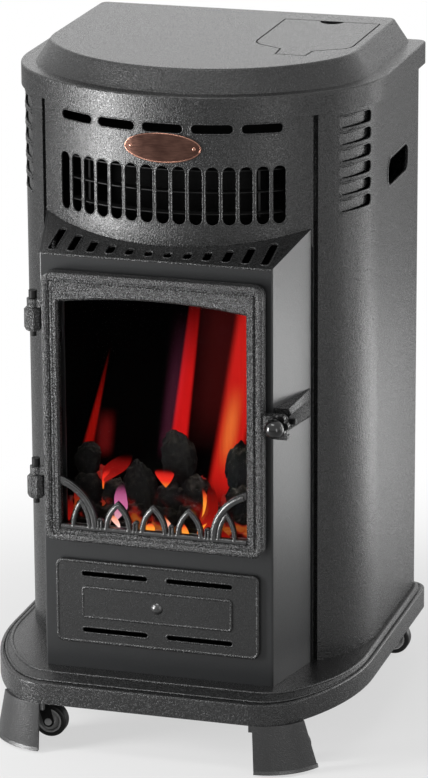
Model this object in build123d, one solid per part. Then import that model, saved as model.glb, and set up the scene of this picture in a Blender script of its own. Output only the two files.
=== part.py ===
from build123d import *
import math
import os

# Portable gas cabinet heater on castors. Millimetres, +Z up, the front faces -Y.
# The origin is the centre of the footprint, on the floor.

# ---- fits ----
SEAT = 0.1            # gap where a fixed piece seats on its carrier
RUN = 0.05            # radial clearance of a shaft in its bore
SLIP = 0.5            # side clearance between faces that pass each other
CUT = 30.0            # how far a cutter runs past the sheet it cuts

# ---- cabinet plan: bowed front, wide front corners, straight sides, small back corners ----
BODY_HALF_W = 208.4
BODY_BACK = 214.0
BODY_APEX = -136.5
BOW_SLACK = 30.1        # how much the bow's radius is over half the width
BOW_R = BODY_HALF_W + BOW_SLACK
CORNER_R = 120.0
BACK_R = 8.0
BODY_H = 672.8
SIDE_SHEET = 1.5
SIDE_RETURN = 10.0
SIDE_TUCK = 2.6       # angle, in degrees, that the side panel tucks behind the upper front panel
SIDE_BACK_RETURN = 14.0
SIDE_SEAM_IN = 45.9

# ---- plinth ----
PLINTH_BOTTOM = 61.3
PLINTH_SKIRT_H = 24.7
PLINTH_H = 27.2
PLINTH_SIDE_OUT = 13.1
PLINTH_HALF_W = BODY_HALF_W + PLINTH_SIDE_OUT
PLINTH_FRONT = -223.5
PLINTH_BACK = 225.7
PLINTH_ARC_IN = 101.5
PLINTH_ARC_X = PLINTH_HALF_W - PLINTH_ARC_IN
PLINTH_ARC_Y = -40.0
PLINTH_TIGHT_R = 65.0
PLINTH_BACK_R = 22.0
PLINTH_WALL = 3.0
PLINTH_ROOF = 6.0
PLINTH_RIM = 4.0
PLINTH_GROOVE = 2.5
STEP_FOOT_SIDE = 4.5
STEP_FOOT_FRONT = 17.5
STEP_TOP_SIDE = 9.5
STEP_TOP_FRONT = 35.5
STEP_RISE = 4.5
BASE_Z = PLINTH_BOTTOM + PLINTH_H
BODY_TOP = BASE_Z + BODY_H
CAVITY_ROOF = BASE_Z - PLINTH_ROOF

# ---- front legs ----
LEG_BOTTOM = 3.0
LEG_T = 3.5
LEG_INNER_IN = 94.5
LEG_OUTER_IN = 42.0
LEG_INNER_X = PLINTH_HALF_W - LEG_INNER_IN
LEG_OUTER_X = PLINTH_HALF_W - LEG_OUTER_IN
LEG_OUTER_Y = -190.7
LEG_SPLAY_FRONT = 2.0
LEG_SPLAY_SIDE = 13.5
LEG_LIP = 1.2
LEG_LIP_H = 4.0
LEG_LUG_H = 17.0
LEG_MIDDLE_X = 0.58      # where the leg's face turns, as a share of its width
LEG_MIDDLE_Y = 0.3

# ---- castors ----
CASTOR_FRONT_IN = 75.5
CASTOR_FRONT_X = PLINTH_HALF_W - CASTOR_FRONT_IN
CASTOR_FRONT_Y = -165.0
CASTOR_BACK_IN = 50.0
CASTOR_BACK_X = PLINTH_HALF_W - CASTOR_BACK_IN
CASTOR_BACK_Y = 204.0
WHEEL_R = 20.0
WHEEL_W = 15.0
TYRE_DEPTH = 5.5
TRAIL = 13.5
AXLE_R = 2.5
FORK_GAP = 1.5
FORK_T = 2.0
FORK_CROWN_Z = 44.0
KINGPIN_R = 4.0
KINGPIN_HEAD_H = 2.8
CASTOR_PLATE = 38.0
CASTOR_PLATE_Z = 52.5
CASTOR_PLATE_T = 2.5

# ---- firebox surround ----
FACE_PROUD = 31.0
FACE_SIDE_IN = 72.4
FACE_HALF_W = BODY_HALF_W - FACE_SIDE_IN
FACE_H = 494.0
FACE_T = 3.0
CHEEK_T = 2.5
CHEEK_REAR_IN = 52.4
CHEEK_REAR_X = BODY_HALF_W - CHEEK_REAR_IN
CHEEK_REAR_GAP = 1.1
CHEEK_FLANGE = 8.0
FIRE_SIDE_IN = 28.0
FIRE_HALF_W = FACE_HALF_W - FIRE_SIDE_IN
FIRE_MARGIN_BOTTOM = 12.5
FIRE_MARGIN_TOP = 25.0
FIRE_R = 10.0
GRILLE_SLOPE = 15.43
GRILLE_T = 2.0
GRILLE_UNDER = 8.0
GRILLE_SLOTS = 12
GRILLE_PITCH = 22.6
GRILLE_SLOT_W = 9.0
GRILLE_FRONT_LAND = 8.0
GRILLE_REAR_LAND = 12.5

# ---- upper front panel ----
PANEL_T = 2.0
PANEL_SEAM_IN = 51.9
PANEL_RETURN = 6.0
PANEL_TOP_FLANGE = 8.0
LOWER_SLOTS = 15
LOWER_SLOT_PITCH = 18.9
LOWER_SLOT_W = 15.0
LOWER_SLOT_H = 67.0
LOWER_SLOT_DROP = 110.8
UPPER_SLOT_H = 10.0
UPPER_SLOT_DROP = 34.3
UPPER_SLOT_W = 46.6
UPPER_SLOT_PITCH = 56.6
BADGE_W = 89.0
BADGE_H = 34.4
BADGE_T = 1.2
BADGE_DROP = 56.8
BADGE_RIVET_ARC = 36.7
BADGE_RIVET_R = 1.5

# ---- lower vent panel ----
VENT_SIDE_IN = 15.0
VENT_HALF_W = FACE_HALF_W - VENT_SIDE_IN
VENT_MARGIN = 33.0
VENT_H = 100.5
VENT_PROUD = 4.9
VENT_WALL = 2.0
VENT_R = 8.0
VENT_SLOT_IN = 11.5
VENT_SLOT_END_IN = 31.5
VENT_SLOT_OUT = VENT_HALF_W - VENT_SLOT_END_IN
VENT_SLOT_H = 5.5
VENT_SLOT_MARGIN = 16.0
VENT_BAND_H = 38.5
VENT_BAND_T = 1.3
VENT_SCREW_R = 7.0
VENT_SHANK_R = 3.0

# ---- door ----
DOOR_SIDE_IN = 6.5
DOOR_HALF_W = FACE_HALF_W - DOOR_SIDE_IN
DOOR_RISE = 159.0
DOOR_H = 317.5
DOOR_T = 14.0
DOOR_GAP = 3.0
DOOR_R = 12.0
DOOR_BAND = 8.4
DOOR_GROOVE_W = 1.8
DOOR_GROOVE_D = 1.4
WINDOW_SIDE_IN = 19.5
WINDOW_HALF_W = DOOR_HALF_W - WINDOW_SIDE_IN
WINDOW_SILL = 14.5
WINDOW_HEAD = 34.0
WINDOW_ARCH = 8.0
WINDOW_BEVEL = 2.5
GLASS_T = 4.0
GLASS_LAP = 6.0
SEAL_W = 5.0
SEAL_INSET = 3.0
SEAL_SQUASH_GAP = 0.3
CLIP_T = 1.2
CLIP_W = 12.0
CLIP_L = 11.0
TRACERY_FRONT = 1.5
TRACERY_T = 5.0
TRACERY_SILL = 6.0
ARCH_PITCH = 42.4
ARCH_W = 33.0
ARCH_H = 32.0
ARCH_BAR = 6.0
POST_W = 7.0
POST_H = 9.0
SIDE_ARCH_FOOT = 43.5
SIDE_ARCH_H = 57.0
SIDE_ARCH_BAR = 8.0
SIDE_TWIG_FOOT = 12.0
SIDE_TWIG_BAR = 5.0
TEXTURE_EDGE = 1.5

# ---- hinges ----
HINGE_OUT = 11.5
HINGE_DEPTH = 7.0
HINGE_INSET_BOTTOM = 41.5
HINGE_INSET_TOP = 24.0
HINGE_H = 53.5
HINGE_PIN_R = 3.5
HINGE_HEAD_R = 4.75
HINGE_HEAD_H = 9.0
KNUCKLE_R = 7.0
KNUCKLE_H = 9.5
KNUCKLE_ARM_T = 9.0
BLOCK_R = 10.3
BLOCK_H = 27.0
BLOCK_TAPER = 4.0
TAB_T = 3.0
TAB_L = 26.0
TAB_H = 18.0
TAB_SCREW_R = 2.0

# ---- latch ----
LATCH_OUT = 18.0
LATCH_Z = 161.5
EAR_R = 8.5
LATCH_SHAFT_R = 3.5
COLLAR_T = 7.0
COLLAR_R = 10.0
COLLAR_LOBES = 6
COLLAR_LOBE_R = 4.5
NECK_R = 4.75
NECK_L = 3.0
BALL_R = 11.0
TONGUE_L = 16.0
TONGUE_HALF_W = 3.5
TONGUE_T = 3.4
LATCH_NUT_R = 5.0
LATCH_NUT_T = 3.0
KEEPER_H = 37.0
KEEPER_RISE = 12.0
KEEPER_OUT = 20.0
KEEPER_FRONT = 5.0
KEEPER_TAIL = 0.6
KEEPER_LEAN = 2.4
KEEPER_SHOULDER = 1.2
CATCH_W = 14.0
CATCH_H = 11.8
CATCH_T = 3.0
CATCH_ARM_H = 3.8
CATCH_DROP = 1.2

# ---- lid and flap ----
LID_SEAT = 0.2
LEDGE_T = 2.5
APRON_T = 2.0
APRON_H = 26.0
LID_SIDE_OVERHANG = 7.6
LID_FRONT_OVERHANG = 2.5
LID_BACK_OVERHANG = 3.0
LID_CORNER_R = 140.0
LID_BACK_R = 10.0
LID_EDGE_R = 2.2
FOOT_SIDE_IN = 19.0
FOOT_FRONT_IN = 15.7
FOOT_BACK_IN = 5.0
FOOT_BOW_IN = 10.5
FOOT_BOW_R = BOW_R - FOOT_BOW_IN
FOOT_CORNER_R = 120.0
CROWN_H = 26.0
CROWN_SIDE_IN = 36.0
CROWN_FRONT_IN = 27.0
CROWN_BACK_IN = 8.0
CROWN_BOW_IN = 43.5
CROWN_BOW_R = BOW_R - CROWN_BOW_IN
CROWN_CORNER_R = 90.0
CROWN_T = 2.5
CROWN_EDGE_R = 3.0
FLAP_T = 2.5
FLAP_GAP = 1.8
FLAP_RIGHT_IN = 38.4
FLAP_W = 112.0
FLAP_RIGHT = BODY_HALF_W - FLAP_RIGHT_IN
FLAP_LEFT = FLAP_RIGHT - FLAP_W
FLAP_BACK = 168.0
FLAP_TAB_IN = 38.0
FLAP_TAB_W = 37.0
FLAP_TAB_RIGHT = FLAP_RIGHT - FLAP_TAB_IN
FLAP_TAB_LEFT = FLAP_TAB_RIGHT - FLAP_TAB_W
FLAP_TAB_FRONT = -12.5
FLAP_SHOULDER = 15.0
FLAP_CHEEK_Y = 36.0
FLAP_NOTCH_R = 14.0
FLAP_CORNER_R = 24.0
FLAP_TAB_TAPER = 2.0
FLAP_SLANT = 3.0
FLAP_AXIS_BACK = 8.5
FLAP_AXIS_DROP = 5.8
FLAP_PIN_R = 1.5
FLAP_BARREL_R = 3.0
FLAP_LUG_T = 5.5

# ---- controls ----
TRAY_FLOOR_DROP = 38.0
TRAY_T = 2.0
TRAY_MARGIN = 5.0
KNOB_IN = 50.0
KNOB_X = FLAP_RIGHT - KNOB_IN
KNOB_Y = 110.0
KNOB_R = 20.0
KNOB_H = 20.0
KNOB_LIFT = 5.0
KNOB_RECESS_R = 13.0
KNOB_RECESS_H = 6.0
KNOB_PUSH = 3.0
KNOB_FLUTES = 12
KNOB_FLUTE_R = 2.5
KNOB_FLUTE_OUT = 1.0
KNOB_EDGE = 2.0
SPINDLE_R = 3.0
SPINDLE_TOP = 16.0
SPINDLE_L = 36.0
VALVE_W = 34.0
VALVE_D = 40.0
VALVE_H = 38.0
VALVE_DROP = 10.0
VALVE_NECK_R = 8.0
VALVE_NUT_R = 11.0
VALVE_NUT_T = 3.5
HOSE_R = 4.0
HOSE_L = 38.0
HOSE_BARBS = 4
HOSE_BORE_R = 2.0
HOSE_TIP_R = 3.0
HOSE_COLLAR_R = 5.5
HOSE_COLLAR_L = 6.0
HOSE_BARB_START = 8.0
HOSE_TIP_L = 2.0
IGNITER_IN = 88.0
IGNITER_X = FLAP_RIGHT - IGNITER_IN
IGNITER_Y = 75.0
IGNITER_R = 8.0
IGNITER_FLANGE_R = 11.0
IGNITER_L = 49.0
IGNITER_TRAVEL = 4.0
BUTTON_R = 5.5
BUTTON_L = 16.0
BUTTON_PROUD = 6.0
PIPE_R = 4.0
PIPE_BEND_R = 15.0
PIPE_SIDE_OUT = 8.0
PIPE_DOWN_Y = -62.0

# ---- firebox interior ----
SHIELD_Y = -115.8
SHIELD_T = 1.2
SHIELD_FLANGE = 10.0
SHIELD_JOG_Z = 560.0
SHIELD_UPPER_Y = -70.0
SHIELD_TOP = 735.0
LINER_SIDE_OUT = 14.0
LINER_HALF_W = FIRE_HALF_W + LINER_SIDE_OUT
LINER_T = 1.2
LINER_GAP = 1.0
LINER_BOTTOM = 236.0
LINER_TOP = 560.0
REFLECTOR_SIDE_IN = 4.0
REFLECTOR_HALF_W = LINER_HALF_W - REFLECTOR_SIDE_IN
REFLECTOR_T = 0.8
REFLECTOR_SAG = 17.0
REFLECTOR_GAP = 1.0
REFLECTOR_BOTTOM = 275.0
REFLECTOR_TOP = 548.0
TRAY_SIDE_IN = 16.0
TRAY_HALF_W = LINER_HALF_W - TRAY_SIDE_IN
TRAY_RISE = 1.3
BURNER_TRAY_H = 24.0
BURNER_TRAY_FRONT = -161.0
BURNER_TRAY_BACK = -122.0
BURNER_Y = -141.0
BURNER_TUBE_R = 6.0
BURNER_FOOT_W = 10.0
BURNER_FOOT_AT = 0.8     # how far out the feet are, as a share of the tray's half width
COAL_SLAB_H = 10.0
COAL_R = 17.0
PILOT_OUT = 8.0
PILOT_W = 8.0
PILOT_D = 22.0
PILOT_H = 34.0
PILOT_T = 1.5
PILOT_STEM_Z = 12.0
PILOT_STEM_L = 32.0
PILOT_STEM_STEP = 3.0
PILOT_STEM_PITCH = 7.0
PILOT_STEM_R = (2.6, 1.6, 2.2)
BAFFLE_ANGLE = 34.0
BAFFLE_GAP = 13.5
BAFFLE_R = BOW_R - BAFFLE_GAP
BAFFLE_DEPTH = 12.0
BAFFLE_T = 1.2
BAFFLE_COUNT = 3
BAFFLE_PITCH = 25.0
BAFFLE_POST_X = 100.0
BAFFLE_POST_OVER = 5.0

# ---- cylinder bay and back ----
PAN_SIDE_IN = 13.4
PAN_HALF_W = BODY_HALF_W - PAN_SIDE_IN
PAN_FRONT = -112.0
PAN_BACK_IN = 9.0
PAN_BACK = BODY_BACK - PAN_BACK_IN
PAN_T = 1.5
PAN_LIP = 12.0
REAR_STILE = 24.4
REAR_OPENING_HALF_W = BODY_HALF_W - REAR_STILE
REAR_RAIL = 14.0
REAR_FRAME_T = 1.5
REAR_PANEL_T = 1.6
REAR_PANEL_MARGIN = 3.5
REAR_VENTS = 9
REAR_VENT_PITCH = 24.0
REAR_VENT_W = 120.0
REAR_VENT_H = 6.0
REAR_PULL_W = 110.0
REAR_PULL_H = 26.0
REAR_PULL_D = 14.0
REAR_PULL_R = 5.0
REAR_PULL_DROP = 3       # how many of its own heights the pull sits below the panel's top
REAR_VENT_OUT = 0.7      # middle of a vent, as a share of its width
REAR_TOP_GAP = 2.0

# ---- side details ----
HAND_Y0 = 64.0
HAND_Y1 = 157.0
HAND_DROP = 106.3
HAND_H = 32.0
HAND_R = 12.0
HAND_LIP = 3.0
LOUVRES = 6
LOUVRE_PITCH = 19.4
LOUVRE_DROP = 36.6
LOUVRE_H = 14.0
LOUVRE_L = 55.5
LOUVRE_R = 6.0
LOUVRE_REAR_ANGLE = 12.2
LOUVRE_SLIT = 1.3
LOUVRE_END_GAP = 2.2
LOUVRE_IN = 5.0
LOUVRE_ROOT = 2.0

# ---- places worked out from the sizes above ----
LOUVRE_ANGLE = LOUVRE_REAR_ANGLE + math.degrees(LOUVRE_L / CORNER_R) / 2
LOUVRE_REACH = CORNER_R * math.sin(LOUVRE_L / CORNER_R / 2)
SIDE_SEAM_X = BODY_HALF_W - SIDE_SEAM_IN
PANEL_SEAM_X = BODY_HALF_W - PANEL_SEAM_IN
PIPE_X = LINER_HALF_W + PIPE_SIDE_OUT
FACE_Y = BODY_APEX - FACE_PROUD
FACE_TOP = BASE_Z + FACE_H
DOOR_BACK = FACE_Y - DOOR_GAP
DOOR_FRONT = DOOR_BACK - DOOR_T
DOOR_BOTTOM = BASE_Z + DOOR_RISE
DOOR_TOP = DOOR_BOTTOM + DOOR_H
FIRE_BOTTOM = DOOR_BOTTOM + FIRE_MARGIN_BOTTOM
FIRE_TOP = DOOR_TOP - FIRE_MARGIN_TOP
WINDOW_BOTTOM = DOOR_BOTTOM + WINDOW_SILL
WINDOW_TOP = DOOR_TOP - WINDOW_HEAD
VENT_BOTTOM = BASE_Z + VENT_MARGIN
VENT_TOP = VENT_BOTTOM + VENT_H
VENT_Z = (VENT_BOTTOM + VENT_TOP) / 2
HINGE_X = -DOOR_HALF_W - HINGE_OUT
HINGE_Y = DOOR_BACK - HINGE_DEPTH
LATCH_X = DOOR_HALF_W + LATCH_OUT
LATCH_HEIGHT = DOOR_BOTTOM + LATCH_Z
LEDGE_TOP = BODY_TOP + LID_SEAT + LEDGE_T
LID_TOP = LEDGE_TOP + CROWN_H
LID_UNDER = LID_TOP - CROWN_T
APRON_BOTTOM = LEDGE_TOP - APRON_H
FLAP_AXIS_Y = FLAP_TAB_FRONT + FLAP_AXIS_BACK
FLAP_AXIS_Z = LID_TOP - FLAP_AXIS_DROP
TRAY_FLOOR = LID_TOP - TRAY_FLOOR_DROP
VALVE_TOP = TRAY_FLOOR - VALVE_DROP
VALVE_BOTTOM = VALVE_TOP - VALVE_H
PIPE_Z = VALVE_BOTTOM + 0.25 * VALVE_H
PAN_TOP = BASE_Z + PAN_T
LINER_FRONT = FACE_Y + FACE_T + SEAT
LINER_BACK = SHIELD_Y - SHIELD_T - LINER_GAP
BURNER_TRAY_BOTTOM = LINER_BOTTOM + LINER_T + TRAY_RISE
BURNER_TRAY_TOP = BURNER_TRAY_BOTTOM + BURNER_TRAY_H
BURNER_Z = BURNER_TRAY_BOTTOM + BURNER_TRAY_H / 3
SIDES = (-1, 1)


# ---- shape helpers ----
def block(x0, x1, y0, y1, z0, z1):
    """Rectangular block between two corners."""
    middle = Pos((x0 + x1) / 2, (y0 + y1) / 2, (z0 + z1) / 2)
    return middle * Box(x1 - x0, y1 - y0, z1 - z0)


def rod(start, end, radius):
    """Round rod from one point to another."""
    run = Vector(*end) - Vector(*start)
    return extrude(Plane(origin=start, z_dir=run) * Circle(radius), run.length)


def rounded(u0, u1, v0, v1, radius):
    """Rounded rectangle between two corners of a sketch."""
    return Pos((u0 + u1) / 2, (v0 + v1) / 2) * RectangleRounded(u1 - u0, v1 - v0, radius)


def front_plate(sketch, y_front, y_back):
    """Plate whose outline is drawn in X and Z."""
    return extrude(Plane.XZ.offset(-y_back) * sketch, y_back - y_front)


def side_plate(sketch, x0, x1):
    """Plate whose outline is drawn in Y and Z."""
    return extrude(Plane.YZ.offset(x0) * sketch, x1 - x0)


def flat_plate(sketch, z0, z1):
    """Plate whose outline is drawn in X and Y."""
    return extrude(Pos(0, 0, z0) * sketch, z1 - z0)


def outline(points):
    """Closed straight-sided sketch through points."""
    return make_face(Polyline(*points, close=True))


def domed_screw(plane, head_r, head_h, shank_r, length):
    """Screw with a domed head on a plane and its shank behind it."""
    dome_r = (head_r ** 2 + head_h ** 2) / (2 * head_h)
    dome = Pos(plane.offset(head_h - dome_r).origin) * Sphere(dome_r)
    head = dome & extrude(plane * Circle(head_r), head_h)
    return head + extrude(plane * Circle(shank_r), -length)


class Plan:
    """Plan outline with a bowed front, wide front corners, straight sides and small back corners."""

    def __init__(self, half_w, back, bow_r, apex, corner_r, back_r):
        self.half_w = half_w
        self.back = back
        self.bow_r = bow_r
        self.apex = apex
        self.corner_r = corner_r
        self.back_r = back_r
        self.cy = apex + bow_r
        self.corner_x = half_w - corner_r
        self.corner_y = self.cy - math.sqrt((bow_r - corner_r) ** 2 - self.corner_x ** 2)

    def inset(self, t):
        """The outline moved inwards by t; its back corners stay at least slightly round."""
        return Plan(self.half_w - t, self.back - t, self.bow_r - t, self.apex + t,
                    self.corner_r - t, max(self.back_r - t, SLIP))

    def face(self, z=0.0):
        """The outline as a flat face at height z."""
        bow = math.degrees(math.atan2(self.corner_x, self.cy - self.corner_y))
        turn = 90 - bow
        back_x = self.half_w - self.back_r
        back_y = self.back - self.back_r
        edges = [
            CenterArc((0, self.cy), self.bow_r, 270 - bow, 2 * bow),
            CenterArc((self.corner_x, self.corner_y), self.corner_r, 270 + bow, turn),
            Line((self.half_w, self.corner_y), (self.half_w, back_y)),
            CenterArc((back_x, back_y), self.back_r, 0, 90),
            Line((back_x, self.back), (-back_x, self.back)),
            CenterArc((-back_x, back_y), self.back_r, 90, 90),
            Line((-self.half_w, back_y), (-self.half_w, self.corner_y)),
            CenterArc((-self.corner_x, self.corner_y), self.corner_r, 180, turn),
        ]
        return Pos(0, 0, z) * make_face(edges)


BODY = Plan(BODY_HALF_W, BODY_BACK, BOW_R, BODY_APEX, CORNER_R, BACK_R)
FLANGE = Plan(BODY_HALF_W + LID_SIDE_OVERHANG, BODY_BACK + LID_BACK_OVERHANG, BOW_R + LID_FRONT_OVERHANG,
              BODY_APEX - LID_FRONT_OVERHANG, LID_CORNER_R, LID_BACK_R)
CROWN_FOOT = Plan(FLANGE.half_w - FOOT_SIDE_IN, FLANGE.back - FOOT_BACK_IN, FOOT_BOW_R,
                  FLANGE.apex + FOOT_FRONT_IN, FOOT_CORNER_R, LID_BACK_R)
CROWN = Plan(FLANGE.half_w - CROWN_SIDE_IN, FLANGE.back - CROWN_BACK_IN, CROWN_BOW_R,
             FLANGE.apex + CROWN_FRONT_IN, CROWN_CORNER_R, LID_BACK_R)


def bow_point(radius, angle):
    """Point of a circle about the bow's centre, at an angle from the front centre line."""
    a = math.radians(angle)
    return (radius * math.sin(a), BODY.cy - radius * math.cos(a))


def bow_angle(x, radius=BOW_R):
    """Angle at which a circle about the bow's centre reaches x."""
    return math.degrees(math.asin(x / radius))


def bow_y(x, radius=BOW_R):
    """Y of a circle about the bow's centre at x."""
    return BODY.cy - math.sqrt(radius ** 2 - x ** 2)


def bow_sector(r_in, r_out, a0, a1):
    """Part of a ring about the bow's centre, between two angles."""
    outer = CenterArc((0, BODY.cy), r_out, 270 + a0, a1 - a0)
    inner = CenterArc((0, BODY.cy), r_in, 270 + a0, a1 - a0)
    return make_face([outer, inner, Line(outer @ 0, inner @ 0), Line(outer @ 1, inner @ 1)])


def bow_plane(arc, z):
    """Plane that touches the bow at a distance along it from the centre line, facing out."""
    a = arc / BOW_R
    x, y = bow_point(BOW_R, math.degrees(a))
    return Plane(origin=(x, y, z), x_dir=(math.cos(a), math.sin(a), 0),
                 z_dir=(math.sin(a), -math.cos(a), 0))


CHEEK_REAR_Y = bow_y(CHEEK_REAR_X) - CHEEK_REAR_GAP
CHEEK_RUN = CHEEK_REAR_Y - FACE_Y
CHEEK_TILT = math.atan2(CHEEK_REAR_X - FACE_HALF_W, CHEEK_RUN)
GRILLE_PLANE = Plane(origin=(0, FACE_Y, FACE_TOP), x_dir=(1, 0, 0),
                     z_dir=(0, -math.sin(math.radians(GRILLE_SLOPE)), math.cos(math.radians(GRILLE_SLOPE))))


def cheek_x(y, depth=0.0):
    """X of the cheek at y, on its outer face or at a depth below it."""
    return FACE_HALF_W + (y - FACE_Y) * math.tan(CHEEK_TILT) - depth / math.cos(CHEEK_TILT)


# ---- plinth and legs ----
def plinth_face(side_in, front_in, z):
    """Plinth outline whose front corners turn through a tight arc and then a slack one."""
    half_w = PLINTH_HALF_W - side_in
    front = PLINTH_FRONT + front_in
    back = PLINTH_BACK - side_in
    tight = PLINTH_TIGHT_R - side_in
    back_r = PLINTH_BACK_R - side_in
    a = half_w - PLINTH_ARC_X
    b = PLINTH_ARC_Y - front
    slack = (a ** 2 + b ** 2 - 2 * b * tight) / (2 * (a - tight))
    slack_x = half_w - slack
    turn = math.degrees(math.atan2(PLINTH_ARC_Y - front - tight, PLINTH_ARC_X - slack_x))
    back_x = half_w - back_r
    back_y = back - back_r
    edges = [
        Line((-PLINTH_ARC_X, front), (PLINTH_ARC_X, front)),
        CenterArc((PLINTH_ARC_X, front + tight), tight, 270, 90 - turn),
        CenterArc((slack_x, PLINTH_ARC_Y), slack, -turn, turn),
        Line((half_w, PLINTH_ARC_Y), (half_w, back_y)),
        CenterArc((back_x, back_y), back_r, 0, 90),
        Line((back_x, back), (-back_x, back)),
        CenterArc((-back_x, back_y), back_r, 90, 90),
        Line((-half_w, back_y), (-half_w, PLINTH_ARC_Y)),
        CenterArc((-slack_x, PLINTH_ARC_Y), slack, 180, turn),
        CenterArc((-PLINTH_ARC_X, front + tight), tight, 180 + turn, 90 - turn),
    ]
    return Pos(0, 0, z) * make_face(edges)


def plinth():
    skirt_top = PLINTH_BOTTOM + PLINTH_SKIRT_H
    groove_floor = skirt_top - PLINTH_GROOVE
    skirt = extrude(plinth_face(0, 0, PLINTH_BOTTOM), PLINTH_SKIRT_H)
    skirt = fillet(skirt.edges().filter_by_position(Axis.Z, skirt_top - SEAT, skirt_top + SEAT),
                   PLINTH_WALL / 2)
    shape = skirt - extrude(plinth_face(PLINTH_RIM, PLINTH_RIM, groove_floor), PLINTH_GROOVE + SEAT)
    foot = plinth_face(STEP_FOOT_SIDE, STEP_FOOT_FRONT, BASE_Z - STEP_RISE)
    top = plinth_face(STEP_TOP_SIDE, STEP_TOP_FRONT, BASE_Z)
    shape += loft([foot, top], ruled=True)
    shape += extrude(plinth_face(STEP_FOOT_SIDE, STEP_FOOT_FRONT, groove_floor - SEAT),
                     BASE_Z - STEP_RISE - groove_floor + SEAT)
    return shape - extrude(plinth_face(PLINTH_WALL, PLINTH_WALL, PLINTH_BOTTOM - SEAT),
                           CAVITY_ROOF - PLINTH_BOTTOM + SEAT)


def leg_face(z, front_x, side_x, side_y, front_y, out, t):
    """Section of a leg: a curved strip round the front corner, a thickness t behind its face."""
    swell = (PLINTH_TIGHT_R - LEG_T) / PLINTH_TIGHT_R
    middle_x = front_x + (side_x - front_x) * LEG_MIDDLE_X
    middle_y = front_y + (side_y - front_y) * LEG_MIDDLE_Y * swell
    face = ThreePointArc((front_x, front_y - out), (middle_x + 0.5 * out, middle_y - out),
                         (side_x + out, side_y - out))
    back = ThreePointArc((front_x, front_y + t), (middle_x - 0.5 * t, middle_y + t),
                         (side_x - 0.7 * t, side_y + t))
    return Pos(0, 0, z) * make_face([face, back, Line(face @ 0, back @ 0), Line(face @ 1, back @ 1)])


def front_leg(side):
    """Flared leg that hides the castor, with a rolled foot and a lug inside the skirt."""
    top = (LEG_INNER_X, LEG_OUTER_X, LEG_OUTER_Y, PLINTH_FRONT)
    foot = (LEG_INNER_X + LEG_SPLAY_FRONT, LEG_OUTER_X + LEG_SPLAY_SIDE,
            LEG_OUTER_Y + LEG_SPLAY_SIDE * 0.68, PLINTH_FRONT - LEG_SPLAY_FRONT / 2)
    shape = loft([leg_face(LEG_BOTTOM, *foot, 0, LEG_T), leg_face(PLINTH_BOTTOM, *top, 0, LEG_T)],
                 ruled=True)
    shape += loft([leg_face(LEG_BOTTOM, *foot, LEG_LIP, 1), leg_face(LEG_BOTTOM + LEG_LIP_H, *foot, 0, 1)],
                  ruled=True)
    middle = (PLINTH_ARC_X, PLINTH_FRONT + PLINTH_TIGHT_R)
    reach = (LEG_OUTER_X - middle[0], LEG_OUTER_Y - middle[1])
    corner = outline([middle, (LEG_INNER_X + LEG_T, 2 * PLINTH_FRONT),
                      (2 * PLINTH_HALF_W, 2 * PLINTH_FRONT),
                      (middle[0] + 4 * reach[0], middle[1] + 4 * reach[1])])
    inner = PLINTH_WALL + SEAT + LEG_T
    for outer, z0, z1 in ((PLINTH_WALL / 2, PLINTH_BOTTOM - LEG_LUG_H / 2, PLINTH_BOTTOM),
                          (PLINTH_WALL + SEAT, PLINTH_BOTTOM - LEG_LUG_H / 2,
                           PLINTH_BOTTOM + LEG_LUG_H / 2)):
        lug = (plinth_face(outer, outer, 0) - plinth_face(inner, inner, 0)) & corner
        shape += flat_plate(lug, z0, z1)
    return shape if side > 0 else mirror(shape, about=Plane.YZ)


# ---- castors ----
CASTORS = {
    "fl": (-CASTOR_FRONT_X, CASTOR_FRONT_Y),
    "fr": (CASTOR_FRONT_X, CASTOR_FRONT_Y),
    "bl": (-CASTOR_BACK_X, CASTOR_BACK_Y),
    "br": (CASTOR_BACK_X, CASTOR_BACK_Y),
}
FORK_HALF_GAP = WHEEL_W / 2 + FORK_GAP


def castor_mounts():
    """Hat bracket, plate, race and kingpin of each castor."""
    plate_top = CASTOR_PLATE_Z + CASTOR_PLATE_T
    half = CASTOR_PLATE / 2
    head_top = FORK_CROWN_Z - SLIP / 2
    leg_w = half / 3
    solids = []
    for x, y in CASTORS.values():
        y_in = min(y + half, PLINTH_BACK - PLINTH_WALL - SEAT)
        shape = block(x - half, x + half, y - half, y_in, CASTOR_PLATE_Z, plate_top)
        shape += block(x - half, x - half + leg_w, y - half, y_in, CASTOR_PLATE_Z, CAVITY_ROOF)
        shape += block(x + half - leg_w, x + half, y - half, y_in, CASTOR_PLATE_Z, CAVITY_ROOF)
        shape += rod((x, y, FORK_CROWN_Z + FORK_T + SLIP / 2), (x, y, CASTOR_PLATE_Z), half / 2)
        shape += rod((x, y, head_top - KINGPIN_HEAD_H), (x, y, CASTOR_PLATE_Z), KINGPIN_R)
        shape += rod((x, y, head_top - KINGPIN_HEAD_H), (x, y, head_top), 1.5 * KINGPIN_R)
        solids.append(shape)
    return Compound(children=solids)


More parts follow.
